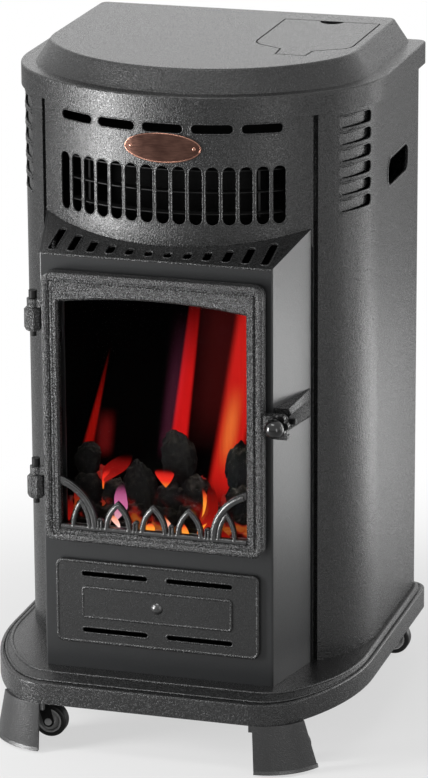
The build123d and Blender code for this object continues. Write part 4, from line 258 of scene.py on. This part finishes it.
DRESS = {
    "body": ["side_panel_left", "side_panel_right", "upper_front_panel", "lid_top", "control_flap",
             "top_grille", "plinth", "latch_keeper", "rear_panel", "rear_frame"],
    "satin": ["firebox_surround"],
    "panel": ["lower_vent_panel"],
    "cast": ["door_frame", "hinge_brackets"],
    "rib": ["door_tracery"],
    "leg": ["front_leg_left", "front_leg_right"],
    "gloss": ["latch_ball", "latch_spindle"],
    "black_steel": ["base_pan", "control_tray", "hinge_pins", "glass_clips", "baffle_strips",
                    *castors("castor_fork")],
    "near_black": ["firebox_liner", "heat_shield"],
    "dome": ["panel_screws"],
    "zinc": ["castor_mounts", "feed_pipe", "burner_tray", "pilot_assembly", "valve_spindle",
             *castors("castor_axle")],
    "brass": ["gas_valve", "hose_tail"],
    "badge": ["badge_plate"],
    "copper": ["badge_rivets"],
    "plastic": ["control_knob", "igniter_body", "igniter_button", "door_seal"],
    "grey_plastic": castors("castor_hub"),
    "rubber": castors("castor_tyre"),
}


def dress(node, material):
    mesh = NODES[node].data
    mesh.materials.clear()
    mesh.materials.append(material)


for finish, nodes in DRESS.items():
    for node in nodes:
        dress(node, PAINT[finish])


# ---- mesh making ----
def full_turn(steps):
    """Angles evenly round a circle."""
    return [2 * math.pi * k / steps for k in range(steps)]


class Form:
    """Points and faces of one piece, in millimetres."""

    def __init__(self):
        self.points = []
        self.faces = []

    def add(self, points, faces):
        start = len(self.points)
        self.points += [tuple(p) for p in points]
        self.faces += [tuple(start + i for i in face) for face in faces]

    def skin(self, rings, closed=False):
        """Joins rings of equal length; the ends are capped unless the skin is closed on itself."""
        n = len(rings[0])
        faces = []
        for r in range(len(rings) - (0 if closed else 1)):
            here, there = r * n, (r + 1) % len(rings) * n
            faces += [(here + i, here + (i + 1) % n, there + (i + 1) % n, there + i) for i in range(n)]
        if not closed:
            faces += [tuple(range(n))[::-1], tuple((len(rings) - 1) * n + i for i in range(n))]
        self.add([p for ring in rings for p in ring], faces)

    def piece(self, name, body, slot, material, replaces=(), crease=40):
        mesh = bpy.data.meshes.new(name)
        mesh.from_pydata([(x * MM, y * MM, z * MM) for x, y, z in self.points], [], self.faces)
        mesh.polygons.foreach_set("use_smooth", [True] * len(mesh.polygons))
        mesh.set_sharp_from_angle(angle=math.radians(crease))
        mesh.materials.append(material)
        made = bpy.data.objects.new(name, mesh)
        bpy.context.scene.collection.objects.link(made)
        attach(made, body)
        if replaces:
            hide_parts(*replaces)


# ---- fire ----
FIRE_RED = (1.0, 0.035, 0.02, 1)
FIRE_ORANGE = (1.0, 0.22, 0.03, 1)
BLACK = (0, 0, 0, 1)
CRAGGY = 60
LUMP_RINGS = 30

COALS = [
    # middle, half width, half depth, half height, tilt
    (-88, -146.6, 274.4, 17, 11.9, 15.3, 20), (-58.3, -147.4, 272.7, 17.9, 11.9, 13.9, -15),
    (-27.6, -148.3, 275.2, 17.9, 11.9, 17, 25), (4.2, -147.4, 274.4, 17.9, 12.2, 16.1, -20),
    (36, -148.3, 277.8, 18.7, 11.9, 20.1, 30), (67.8, -147.4, 275.2, 17.9, 11.9, 17.9, -25),
    (92.2, -147.4, 273.6, 11.9, 11.1, 16.1, 10), (-88, -144.9, 300.8, 16.1, 9.9, 22.1, -12),
    (-56.2, -144.1, 296.5, 15.3, 9.9, 17.9, 25), (-25.4, -144.9, 302.4, 19.5, 10.5, 35.7, -8),
    (9.5, -144.1, 298.2, 17, 9.9, 22.1, 18), (42.4, -144.9, 302.4, 17.9, 10.2, 26.4, -20),
    (91.2, -145.8, 304.1, 15.3, 9.9, 23.8, 12), (-89, -144.9, 334.8, 15.3, 8.8, 20.4, 10),
    (18, -143.2, 344.1, 21.2, 9.9, 32.3, -8), (91.2, -145.8, 340.7, 16.1, 8.8, 29.8, 8),
]
SLAB_HALF_W = 104.6
SLAB_FRONT, SLAB_REAR = -159.6, -123.4
SLAB_LEVELS = ((257.5, 0), (266.5, 0), (267.5, 1))

EMBERS = 11
EMBER_START, EMBER_PITCH = -98, 19.6
EMBER_Y, EMBER_Z = -134.5, 284

# Painted reflections of the flames on the reflector: streaks that glow where a bright sheet would mirror the
# fire.
PAINTED_FIRE_REFLECTIONS = (
    # colour, strength, (foot x, foot z, lean, half width, taper, softness, fade in, fade out)
    ((0.62, 0.010, 0.006, 1), 0.45, (-93, 349, 0.225, 5, -0.040, 0.5, (320, 345), (370, 470))),
    ((0.22, 0.010, 0.010, 1), 0.5, (-74, 361, 0.10, 7, 0.0, 0.9, (330, 350), (365, 395))),
    ((0.040, 0.003, 0.003, 1), 1.0, (62, 400, 0.14, 30, 0.02, 0.6, (340, 420), (480, 600))),
    ((0.07, 0.014, 0.03, 1), 0.7, (-3, 359, 0.155, 6, 0.02, 0.9, (330, 360), (410, 520))),
    ((0.80, 0.012, 0.012, 1), 0.85, (14, 373, 0.128, 9, -0.018, 0.3, (330, 360), (420, 545))),
    ((0.70, 0.014, 0.010, 1), 0.95, (80, 387, 0.20, 17, 0.02, 0.3, (270, 330), (470, 620))),
    ((1.0, 0.20, 0.03, 1), 0.8, (76, 385, 0.16, 7, 0.0, 1.0, (320, 375), (385, 440))),
)

FLAME_SKINS = (
    # name, foot, middle, tip, strength
    ("flame_red", FIRE_ORANGE, FIRE_RED, (0.5, 0.01, 0.01, 1), 1.1),
    ("flame_veil", (0.8, 0.03, 0.02, 1), (0.45, 0.012, 0.01, 1), (0.12, 0.003, 0.003, 1), 0.6),
    ("flame_dull", FIRE_RED, (0.6, 0.015, 0.01, 1), (0.2, 0.005, 0.005, 1), 0.5),
    ("flame_gold", FIRE_ORANGE, (1.0, 0.35, 0.04, 1), FIRE_RED, 1.4),
    ("flame_pink", (1.0, 0.5, 0.6, 1), (0.8, 0.2, 0.45, 1), (0.35, 0.05, 0.16, 1), 0.9),
    ("flame_white", (1.0, 0.75, 0.7, 1), (1.0, 0.5, 0.4, 1), FIRE_ORANGE, 1.4),
)
FLAME_MIN_W, FLAME_HALF_D = 0.3, 2
FLAMES = (
    # name, skin, depth, spine of middle, height and width
    ("flame_crescent", "flame_gold", -159,
     ((47, 274, 1), (52, 283, 6), (55, 296, 7), (54, 309, 5), (49, 323, 1))),
    ("flame_gem", "flame_red", -158.4,
     ((7.6, 314, 1), (7.3, 320, 11), (6.5, 327, 20), (6, 332, 22), (5, 338, 9))),
    ("flame_veil", "flame_veil", -158.5,
     ((-66, 314, 3), (-60, 322, 16), (-53, 331, 26), (-44, 342, 22), (-32, 355, 2))),
    ("flame_veil_edge", "flame_red", -159.2,
     ((-67, 306, 1), (-66, 318, 4), (-62, 326, 8), (-56, 333, 4), (-50, 337, 1))),
    ("flame_pink_left", "flame_pink", -159.5,
     ((-52, 270, 4), (-46, 284, 15), (-46, 298, 15), (-45, 310, 9), (-42, 320, 1))),
    ("flame_arch_left", "flame_white", -162.5, ((-47, 262, 2), (-50, 267, 7), (-54, 273, 8), (-58, 280, 1))),
    ("flame_arch_middle", "flame_gold", -162.5,
     ((-12, 259, 12), (-11, 264, 13), (-10, 268, 9), (-9, 273, 2))),
    ("flame_beside_middle", "flame_white", -162.5, ((12, 257, 6), (12, 266, 11), (8, 275, 9), (2, 285, 1))),
    ("flame_arch_right", "flame_gold", -162.5, ((33, 252, 4), (32, 262, 8), (30, 270, 6), (27, 278, 1))),
    ("flame_corner_right", "flame_dull", -162.5,
     ((76, 250, 16), (75, 260, 22), (70, 270, 14), (64, 280, 2))),
    ("flame_corner_left", "flame_dull", -162.5,
     ((-117, 255, 8), (-114, 270, 18), (-112, 288, 20), (-116, 302, 6))),
    ("flame_right", "flame_dull", -159,
     ((52, 264, 8), (58, 285, 20), (62, 305, 14), (61, 322, 6), (60, 335, 1))),
    ("flame_right_gold", "flame_gold", -160, ((46, 262, 3), (49, 268, 6), (56, 276, 4), (62, 284, 1))),
)


def globe(steps):
    """Unit ball as rings from pole to pole."""
    rise = [math.pi * (i + 0.5) / steps for i in range(steps)]
    return [[(math.sin(v) * math.cos(u), math.sin(v) * math.sin(u), -math.cos(v))
             for u in full_turn(2 * steps)] for v in rise]


def lump(form, x, y, z, half, tilt, seed):
    """A broken lump of coal, with crags and flats; each seed is another place in the noise."""
    lean = Matrix.Rotation(math.radians(tilt), 3, "Y")
    rings = []
    for ring in globe(LUMP_RINGS):
        row = []
        for spot in ring:
            at = Vector(spot) + Vector((seed * 7.3, seed * 3.1, seed * 1.7))
            crag = noise.ridged_multi_fractal(at * 1.1, 1.0, 2.2, 4, 1.0, 2.0) - 1.2
            chip = noise.fractal(at * 3.6, 0.8, 2.0, 4)
            swell = 1 + 0.12 * crag + 0.13 * chip
            p = lean @ Vector([swell * v * h for v, h in zip(spot, half)])
            row.append((x + p.x, y + p.y, z + p.z))
        rings.append(row)
    form.skin(rings)


def coal_finish():
    """Charred ceramic: black with grey ash in patches, and greyer on faces that point up; red where it glows
    low down.
    """
    f = Finish("charred_ceramic")
    grit = f.noise(3.5, 5.0, 0.75)
    ash = f.noise(14, 4.0, 0.6)
    up = f.add("NewGeometry", {}, {}, output="Normal").part(2)
    # Greyer on faces that point up as well as in the noise patches.
    colour = f.mix((ash * 0.7 + up * 0.25).ramp(0.35, 0.75), grey(0.003), (0.06, 0.05, 0.042, 1))
    low = f.place.part(2).ramp(0.318, 0.262)
    heat = (f.noise(24, 2.0).ramp(0.45, 0.7) * low).ramp(0.1, 0.9)
    glow = f.mix(heat, BLACK, f.mix(heat.ramp(0.6, 1), FIRE_RED, FIRE_ORANGE))
    return f.shade(Base_Color=colour, Roughness=0.85, Emission_Color=glow, Emission_Strength=0.35,
                   Specular_IOR_Level=0.15, Normal=f.bump(grit, 1.6))


def broken_coals():
    """The lumps of coal with their broken surface, and the slab under them."""
    coal = coal_finish()
    form = Form()
    for number, (x, y, z, *half, tilt) in enumerate(COALS, 1):
        lump(form, x, y, z, half, tilt, number)
    slab = []
    for z, inset in SLAB_LEVELS:
        x, front, rear = SLAB_HALF_W - inset, SLAB_FRONT + inset, SLAB_REAR - inset
        slab.append([(-x, front, z), (x, front, z), (x, rear, z), (-x, rear, z)])
    form.skin(slab)
    form.piece("ceramic_coals", "cabinet", "ceramic", coal, ["coal_bed"], CRAGGY)


def ember_finish():
    """Live embers, from dull red to orange where they are hottest."""
    f = Finish("live_embers")
    heat = f.noise(11, 3.0, 0.6)
    height = f.place.part(2)
    tone = f.mix(heat.ramp(0.35, 0.65), (0.25, 0.004, 0.002, 1), FIRE_RED)
    tone = f.mix((heat * height.ramp(0.31, 0.265)).ramp(0.3, 0.6), tone, FIRE_ORANGE)
    return f.shade(Base_Color=grey(0.02), Roughness=0.9, Emission_Color=tone, Emission_Strength=0.3)


def embers():
    """A row of glowing lumps behind the coals."""
    skin = ember_finish()
    form = Form()
    for i in range(EMBERS):
        lump(form, EMBER_START + EMBER_PITCH * i, EMBER_Y, EMBER_Z + 12 * math.sin(i * 2.1),
             (13, 5, 26 + 6 * math.sin(i * 1.3)), 12 * math.cos(i), i + 40)
    form.piece("embers_behind", "cabinet", "ceramic", skin, (), CRAGGY)


def flame_finish(name, foot, middle, tip, strength):
    """Burning gas: clear at its edges, one colour at its foot and another at its tip."""
    f = Finish(name)
    along = f.add("TexCoord", {}, {}, output="Generated").part(2)
    wisp = f.noise(7, 2.0, at=f.place.stretch(1, 1, 0.4))
    low = f.mix(along.ramp(0.05, 0.4), foot, middle)
    colour = f.mix(along.ramp(0.4, 0.95), low, tip)
    face = f.add("LayerWeight", {}, {"Blend": 0.5}, output="Facing")
    body = (1 - face).ramp(0.15, 0.8) * along.ramp(1.0, 0.5) * (wisp * 0.6 + 0.6)
    return f.shade(Base_Color=BLACK, Roughness=1.0, Specular_IOR_Level=0.0, Alpha=body.ramp(0, 1),
                   Emission_Color=colour, Emission_Strength=strength)


def flame(name, y, spine, material, steps=6):
    """A tongue of flame, lens-shaped in section, along a smooth curve through its spine."""
    spots = [Vector(spot) for spot in spine]
    spots = [2 * spots[0] - spots[1], *spots, 2 * spots[-1] - spots[-2]]
    form = Form()
    rings = []
    for p0, p1, p2, p3 in zip(spots, spots[1:], spots[2:], spots[3:]):
        for k in range(steps):
            t = k / steps
            x, z, width = (p1 * 2 + (p2 - p0) * t + (2 * p0 - 5 * p1 + 4 * p2 - p3) * t * t
                           + (3 * p1 - p0 - 3 * p2 + p3) * t ** 3) / 2
            half_w = max(width, FLAME_MIN_W) / 2
            half_d = min(half_w / 2, FLAME_HALF_D)
            rings.append([(x + half_w * math.cos(a), y + half_d * math.sin(a), z) for a in full_turn(12)])
    form.skin(rings)
    form.piece(name, "cabinet", "ceramic", material)


def flames():
    skins = {row[0]: flame_finish(*row) for row in FLAME_SKINS}
    for name, skin, y, spine in FLAMES:
        flame(name, y, spine, skins[skin])


def streak(f, across, height, x, z, lean, width, taper, soft, low, high):
    """Mask of one leaning streak of painted firelight, a painted reflection of the flames: half width at its
    foot, and how much it widens upwards.
    """
    middle = x + (height - z) * lean
    half = width + (height - z) * taper
    side = (across.gap(middle) / half).ramp(1 + soft, 1 - soft)
    return side * height.ramp(low[0], low[1]) * height.ramp(high[1], high[0])


def reflector_finish():
    """Bright sheet, painted near black as painted shade for the dark interior it mirrors, with the long red
    streaks that the flames throw up it painted on as glow, a painted reflection.
    """
    f = Finish("reflector_painted_shade_and_firelight")
    x = f.place.part(0) * (1 / MM)
    z = f.place.part(2) * (1 / MM)
    grain = f.noise(1.4, 2.0, at=f.place.stretch(1, 1, 0.03))
    flicker = 0.75 + grain * 0.5
    light = BLACK
    for colour, strength, shape in PAINTED_FIRE_REFLECTIONS:
        glow = f.mix(streak(f, x, z, *shape) * flicker * strength, BLACK, colour)
        light = glow if light is BLACK else f.screen(light, glow)
    # The near-black base is painted shade, and the glow is painted reflection of the flames.
    return f.shade(Base_Color=f.mix(grain, BLACK, grey(0.001)), Roughness=0.7, Specular_IOR_Level=0.0,
                   Emission_Color=light, Emission_Strength=1.0)


def fire_glass():
    f = Finish("ceramic_glass")
    haze = f.noise(40, 3.0)
    return f.shade(Base_Color=f.mix(haze, grey(0.72), grey(0.8)), Roughness=(haze - 0.5) * 0.04 + 0.03,
                   IOR=1.03, Transmission_Weight=1.0)


dress("reflector", reflector_finish())
dress("door_glass", fire_glass())
broken_coals()
embers()
flames()


# ---- rims, beads and castings ----
# Where the surfaces lie that they sit on, in millimetres.
BOW_R, BOW_Y = 238.5, 102.0
CORNER_R, CORNER_X, CORNER_Y = 120.0, 88.4, 23.1
SIDE_X = 208.4
SEAM_X, SEAM_Y, SEAM_OUT = 156.3, -75.9, (0.568, -0.823)
SLOPE_Y, SLOPE_Z, SLOPE_TILT = -167.5, 582.5, math.radians(15.43)
DOOR_Y = -184.5
TRACERY_Y = -183.0
VENT_Y = -172.4
PLINTH_HALF_W, PLINTH_FRONT, PLINTH_BACK = 221.5, 223.5, 225.7
PLINTH_FRONT_R, PLINTH_BACK_R = 65, 22
BULGE_X, BULGE_Y = 120, -40

# The slots and holes that they go round: pitch, half width, ends and corner radius.
UPRIGHT_PITCH, UPRIGHT_SLOT = 18.9, (8.1, 616.4, 684.6, 8.0)
WIDE_PITCH, WIDE_SLOT = 56.6, (24.2, 721.1, 732.9, 5.8)
SLOPE_SLOTS, SLOPE_PITCH, SLOPE_HALF_W, SLOPE_SLOT_FRONT, SLOPE_SLOT_R = 12, 22.6, 5.2, -160.2, 4.2
VENT_SLOT_X, VENT_SLOT_Z, VENT_HALF_W, VENT_HALF_H, VENT_SLOT_R = 50.5, (137.5, 206), 39.8, 3.6, 3.5
LOUVRES, LOUVRE_TOP, LOUVRE_PITCH = 6, 724.7, 19.4
LOUVRE_ROOT, LOUVRE_TIP, LOUVRE_HALF_H = 80, 33, 7.6
HAND_HOLE = (62.9, 158.1, 621.9, 656.1, 13)

# The edges that beads follow: left, right, bottom, top and corner radius.
VENT_EDGE = (-119.2, 119.2, 123.3, 220.2, 6.5)
VENT_BAND = (-88.3, 88.3, 153.8, 189.7, 3.5)
DOOR_OUTER_EDGE = (-125.3, 125.3, 251.7, 560.8, 8.5)
DOOR_INNER_EDGE = (-117.6, 117.6, 259.4, 553.1, 3.0)
SEAM_BOTTOM, SEAM_TOP = 586, 736

# The mouldings of the plinth: how far in at the side and in front, height, half width and half height.
MOULDINGS = ((9.5, 35.5, 88.3, 2.2, 1.3), (4.5, 17.5, 84.2, 1.8, 1.3), (2.2, 2.2, 85.8, 2.0, 0.8))

# The tracery in the door: small arches, and a wide and a narrow one at each side.
ARCH_PITCH, ARCH_ROOT, ARCH_POST = 42.4, 266.0, 1.8
SMALL_ARCH, WIDE_ARCH, SIDE_ARCH = (27, 29), (79, 53), (19, 30)
WIDE_ARCH_X, SIDE_ARCH_X = 110, 86
SILL_Z, SILL_HALF_W = 265.0, 109.5
WINDOW_HALF_W = 109.8

BADGE_Z, BADGE_HALF_W, BADGE_HALF_H, BADGE_PROUD = 704.5, 43.6, 16.4, 1.3
BEAD_SIDES = 10


def rounded(x0, x1, z0, z1, r, step=4.0):
    """Closed outline with round corners, as points no further apart than a step."""
    corners = []
    for cx, cz, start in ((x1 - r, z1 - r, 0), (x0 + r, z1 - r, 90),
                          (x0 + r, z0 + r, 180), (x1 - r, z0 + r, 270)):
        corners += swung(cx, cz, r, start, start + 90, 6)
    return dotted(corners + corners[:1], step)[:-1]


def slot(x, half_w, z0, z1, r):
    """Outline of a slot about its middle."""
    return rounded(x - half_w, x + half_w, z0, z1, r)


def swung(cx, cz, r, start, end, steps):
    """Points along an arc between two angles."""
    turn = [math.radians(start + (end - start) * k / steps) for k in range(steps + 1)]
    return [(cx + r * math.cos(a), cz + r * math.sin(a)) for a in turn]


def dotted(points, step):
    """The same line with points added along its longer stretches."""
    line = [points[0]]
    for (x0, z0), (x1, z1) in zip(points, points[1:]):
        parts = max(1, math.ceil(math.hypot(x1 - x0, z1 - z0) / step))
        line += [(x0 + (x1 - x0) * k / parts, z0 + (z1 - z0) * k / parts) for k in range(1, parts + 1)]
    return line


def flat(y):
    """Lays a line on an upright plane that faces the front."""
    return lambda x, z: ((x, y, z), (0, -1, 0))


def level(z):
    """Lays a line on a level plane."""
    return lambda x, y: ((x, y, z), (0, 0, 1))


def bowed(proud=0.0):
    """Lays a line on the bowed front, measured along the bow."""
    def lay(arc, z):
        a = arc / BOW_R
        r = BOW_R + proud
        return (r * math.sin(a), BOW_Y - r * math.cos(a), z), (math.sin(a), -math.cos(a), 0)
    return lay


def cornered(side):
    """Lays a line on a rounded front corner, measured forward along it from the flat of that side."""
    def lay(arc, z):
        a = arc / CORNER_R
        out = (side * math.cos(a), -math.sin(a), 0)
        return (side * CORNER_X + CORNER_R * out[0], CORNER_Y + CORNER_R * out[1], z), out
    return lay


def upright(side):
    """Lays a line on the flat of a side."""
    return lambda y, z: ((SIDE_X * side, y, z), (side, 0, 0))


def seamed(side):
    """Lays a line on the folded seam beside the bowed front."""
    out = (SEAM_OUT[0] * side, SEAM_OUT[1], 0)
    return lambda x, z: ((x, SEAM_Y, z), out)


def sloped(x, y):
    """Lays a line on the slotted slope above the door."""
    z = SLOPE_Z + (y - SLOPE_Y) * math.tan(SLOPE_TILT)
    return (x, y, z), (0, -math.sin(SLOPE_TILT), math.cos(SLOPE_TILT))


def bead(form, line, lay, half_w, half_h, closed=True):
    """A rounded bead along a line on a surface, half sunk in it."""
    spots = [lay(*p) for p in line]
    last = len(spots) - 1
    rings = []
    for i, (place, out) in enumerate(spots):
        ahead = spots[(i + 1) % len(spots) if closed else min(i + 1, last)][0]
        behind = spots[i - 1 if closed else max(i - 1, 0)][0]
        out = Vector(out)
        side = (Vector(ahead) - Vector(behind)).cross(out).normalized()
        rings.append([Vector(place) + side * half_w * math.cos(a) + out * half_h * math.sin(a)
                      for a in full_turn(BEAD_SIDES)])
    form.skin(rings, closed)


def arch_line(x, width, height, foot, steps=10):
    """Centre line of a pointed arch, from its left foot over its point to its right foot."""
    r = (width ** 2 / 4 + height ** 2) / width
    lean = math.degrees(math.atan2(height, r - width / 2))
    left = swung(x - width / 2 + r, foot, r, 180, 180 - lean, steps)
    return left + [(2 * x - u, v) for u, v in left[-2::-1]]


def plinth_line(side_in, front_in):
    """Outline of the plinth, drawn in from its edge: a tight arc, a slack one and the rear corner."""
    half_w, front, back = PLINTH_HALF_W - side_in, front_in - PLINTH_FRONT, PLINTH_BACK - side_in
    tight, back_r = PLINTH_FRONT_R - side_in, PLINTH_BACK_R - side_in
    a, b = half_w - BULGE_X, BULGE_Y - front
    slack = (a * a + b * b - 2 * b * tight) / (2 * (a - tight))
    turn = math.degrees(math.atan2(b - tight, BULGE_X - half_w + slack))
    right = [(0, front)] + swung(BULGE_X, front + tight, tight, -90, -turn, 8)
    right += swung(half_w - slack, BULGE_Y, slack, -turn, 0, 12)
    right += swung(half_w - back_r, back - back_r, back_r, 0, 90, 6)
    return right + [(-x, y) for x, y in right[:0:-1]]


def bow_rims():
    """Pressed rims round the upright slots and the wide slots of the bowed front."""
    form = Form()
    for i in range(-7, 8):
        bead(form, slot(UPRIGHT_PITCH * i, *UPRIGHT_SLOT), bowed(), 0.8, 0.5)
    for i in range(-2, 3):
        bead(form, slot(WIDE_PITCH * i, *WIDE_SLOT), bowed(), 0.9, 0.6)
    form.piece("bow_slot_rims", "cabinet", "hammered_paint", PAINT["body"])


def side_rims():
    """Pressed rims of the louvres and the hand hole on both sides."""
    form = Form()
    for side in (-1, 1):
        for i in range(LOUVRES):
            z = LOUVRE_TOP - LOUVRE_PITCH * i
            tongue = [(LOUVRE_ROOT, z + LOUVRE_HALF_H)]
            tongue += swung(LOUVRE_TIP, z + 1.6, 6, 90, 180, 5) + swung(LOUVRE_TIP, z - 1.6, 6, 180, 270, 5)
            tongue += [(LOUVRE_ROOT, z - LOUVRE_HALF_H)]
            bead(form, dotted(tongue, 6), cornered(side), 0.9, 0.7, False)
        bead(form, rounded(*HAND_HOLE), upright(side), 1.5, 0.8)
    form.piece("side_pressed_rims", "cabinet", "hammered_paint", PAINT["body"])


def slope_rims():
    """Rims round the slots of the slope, whose rear ends follow the bow."""
    form = Form()
    for i in range(SLOPE_SLOTS):
        x = (i - (SLOPE_SLOTS - 1) / 2) * SLOPE_PITCH
        rear = BOW_Y - math.sqrt(BOW_R ** 2 - x * x) - 12.5
        bead(form, slot(x, SLOPE_HALF_W, SLOPE_SLOT_FRONT, rear + 0.7, SLOPE_SLOT_R), sloped, 0.9, 0.6)
    form.piece("slope_slot_rims", "cabinet", "hammered_paint", PAINT["body"])


def vent_rims():
    """Rims round the four slots of the lower vent panel."""
    form = Form()
    for z in VENT_SLOT_Z:
        for side in (-1, 1):
            line = slot(VENT_SLOT_X * side, VENT_HALF_W, z - VENT_HALF_H, z + VENT_HALF_H, VENT_SLOT_R)
            bead(form, line, flat(VENT_Y), 0.9, 0.5)
    form.piece("vent_slot_rims", "cabinet", "hammered_paint", PAINT["body"])


def panel_beads():
    """Rounded edges of the vent panel and its band, and of the folded seams."""
    form = Form()
    bead(form, rounded(*VENT_EDGE), flat(VENT_Y), 1.7, 0.9)
    bead(form, rounded(*VENT_BAND), flat(VENT_Y - 1.2), 1.5, 0.9)
    for side in (-1, 1):
        seam = [(SEAM_X * side, SEAM_BOTTOM), (SEAM_X * side, SEAM_TOP)]
        bead(form, dotted(seam, 40), seamed(side), 1.5, 1.2, False)
    form.piece("panel_beads", "cabinet", "hammered_paint", PAINT["body"])


def plinth_beads():
    """Mouldings that run round the plinth."""
    form = Form()
    for side_in, front_in, z, half_w, half_h in MOULDINGS:
        bead(form, plinth_line(side_in, front_in), level(z), half_w, half_h)
    form.piece("plinth_beads", "cabinet", "hammered_paint", PAINT["body"])


def door_edges():
    """Rolled edge and inner bead of the cast door."""
    form = Form()
    bead(form, rounded(*DOOR_OUTER_EDGE), flat(DOOR_Y + 0.4), 3.6, 1.6)
    bead(form, rounded(*DOOR_INNER_EDGE), flat(DOOR_Y), 1.2, 0.7)
    form.piece("door_rolled_edge", "door", "cast_paint", PAINT["cast"])


def tracery_ribs():
    """Rounded ribs on the arches, their posts and the sill of the tracery."""
    form = Form()
    face = flat(TRACERY_Y)
    for i in (-1, 0, 1):
        bead(form, arch_line(ARCH_PITCH * i, *SMALL_ARCH, ARCH_ROOT), face, 2.7, 1.8, False)
    for i in (-1.5, -0.5, 0.5, 1.5):
        for x in (ARCH_PITCH * i - ARCH_POST, ARCH_PITCH * i + ARCH_POST):
            post = [(x, ARCH_ROOT - 1), (x, ARCH_ROOT + 5), (x, ARCH_ROOT + 10)]
            bead(form, post, face, 1.6, 2.2, False)
    for side in (-1, 1):
        wide = arch_line(WIDE_ARCH_X * side, *WIDE_ARCH, ARCH_ROOT, 20)
        bead(form, [p for p in wide if abs(p[0]) < WINDOW_HALF_W], face, 3.5, 2.0, False)
        bead(form, arch_line(SIDE_ARCH_X * side, *SIDE_ARCH, ARCH_ROOT), face, 2.2, 1.6, False)
    bead(form, [(x, SILL_Z) for x in (-SILL_HALF_W, 0, SILL_HALF_W)], face, 2.7, 1.6, False)
    form.piece("tracery_ribs", "door", "cast_paint", PAINT["rib"], crease=60)


def badge_rim():
    """Raised rim of the oval badge, measured along the bow like the badge."""
    form = Form()
    line = []
    for a in full_turn(72):
        x = BADGE_HALF_W * math.cos(a)
        line.append((BOW_R * math.asin(x / BOW_R), BADGE_Z + BADGE_HALF_H * math.sin(a)))
    bead(form, line, bowed(BADGE_PROUD), 0.9, 0.7)
    form.piece("badge_rim", "cabinet", "copper", PAINT["copper"])


bow_rims()
side_rims()
slope_rims()
vent_rims()
panel_beads()
plinth_beads()
door_edges()
tracery_ribs()
badge_rim()


# ---- floor and light ----
FLOOR_REACH = 14
WHITE = grey(1)
ROOM_GLOW = 0.25
SOFT_BOXES = (
    # name, azimuth, bottom, top, distance and width in metres, glow
    ("left_box", -50, 0.02, 0.9, 1.5, 0.38, 40),
    ("right_box", 129, 0.02, 1.0, 1.6, 0.42, 4.2),
    ("low_right_box", 132, 0.0, 0.3, 0.8, 0.4, 3.6),
    ("side_box", 98, 0.02, 1.0, 1.7, 0.4, 2.6),
    ("front_right_box", 44, 0.02, 1.0, 1.9, 0.34, 5.5),
    ("back_box", 190, 0.85, 1.8, 2.2, 2.4, 0.6),
)
TOP_BOX = ("top_box", -12, 2.2, 2.8, 1.1, 1.3, 8)
TOP_BOX_AIM = (0, 0, 0.5)


def pale_stage():
    """A pale floor that keeps the cabinet's shadow and runs out into the white of the room."""
    mesh = bpy.data.meshes.new("floor")
    edge = FLOOR_REACH
    mesh.from_pydata([(-edge, -edge, 0), (edge, -edge, 0), (edge, edge, 0), (-edge, edge, 0)], [],
                     [(0, 1, 2, 3)])
    floor = bpy.data.objects.new("floor", mesh)
    bpy.context.scene.collection.objects.link(floor)
    f = Finish("floor_paper")
    far = f.add("VectorMath", {"operation": "LENGTH"}, {0: f.place}, output="Value").ramp(0.3, 0.9)
    paper = f.add("BsdfDiffuse", {}, {"Color": grey(0.5)})
    lit = f.add("Emission", {}, {"Color": WHITE, "Strength": 1.0})
    f.end(f.add("MixShader", {}, {0: (far * 0.4 + 0.6) * plain_view(f), 1: paper, 2: lit}))
    mesh.materials.append(f.material)


def plain_view(f):
    """How much of the paper's own white a ray sees: all straight or through glass, less in a gloss."""
    seen = f.add("LightPath", {}, {}, output="Is Camera Ray")
    glossy = f.add("LightPath", {}, {}, output="Is Glossy Ray")
    through = f.add("LightPath", {}, {}, output="Is Transmission Ray")
    return seen.most(glossy * 0.3).most(through)


def soft_box(name, azimuth, low, high, reach, width, glow):
    """An upright softbox at an azimuth, which is 0 in front and 90 on the right, facing the cabinet."""
    turn = math.radians(azimuth)
    light = bpy.data.lights.new(name, "AREA")
    light.shape = "RECTANGLE"
    light.size = width
    light.size_y = high - low
    light.energy = glow * math.pi * width * (high - low)
    lamp = bpy.data.objects.new(name, light)
    bpy.context.scene.collection.objects.link(lamp)
    lamp.location = (reach * math.sin(turn), -reach * math.cos(turn), (low + high) / 2)
    lamp.rotation_euler = (math.pi / 2, 0, turn)
    lamp.visible_camera = False
    return lamp


def light_room():
    """A dim room that is white to the camera, in a gloss and through glass."""
    world = bpy.data.worlds.new("studio")
    bpy.context.scene.world = world
    world.use_nodes = True
    tree = world.node_tree
    tree.nodes.clear()
    out = tree.nodes.new("ShaderNodeOutputWorld")
    path = tree.nodes.new("ShaderNodeLightPath")
    room = tree.nodes.new("ShaderNodeBackground")
    room.inputs["Strength"].default_value = ROOM_GLOW
    backdrop = tree.nodes.new("ShaderNodeBackground")
    backdrop.inputs["Color"].default_value = WHITE
    share = path.outputs["Is Camera Ray"]
    for name in ("Is Glossy Ray", "Is Transmission Ray"):
        either = tree.nodes.new("ShaderNodeMath")
        either.operation = "MAXIMUM"
        tree.links.new(share, either.inputs[0])
        tree.links.new(path.outputs[name], either.inputs[1])
        share = either.outputs[0]
    blend = tree.nodes.new("ShaderNodeMixShader")
    tree.links.new(share, blend.inputs[0])
    tree.links.new(room.outputs[0], blend.inputs[1])
    tree.links.new(backdrop.outputs[0], blend.inputs[2])
    tree.links.new(blend.outputs[0], out.inputs[0])


def hang_lamps():
    for row in SOFT_BOXES:
        soft_box(*row)
    top = soft_box(*TOP_BOX)
    top.rotation_euler = (Vector(TOP_BOX_AIM) - top.location).to_track_quat("-Z", "Y").to_euler()


bpy.context.scene.view_settings.view_transform = "Standard"
hang_camera()
pale_stage()
light_room()
hang_lamps()
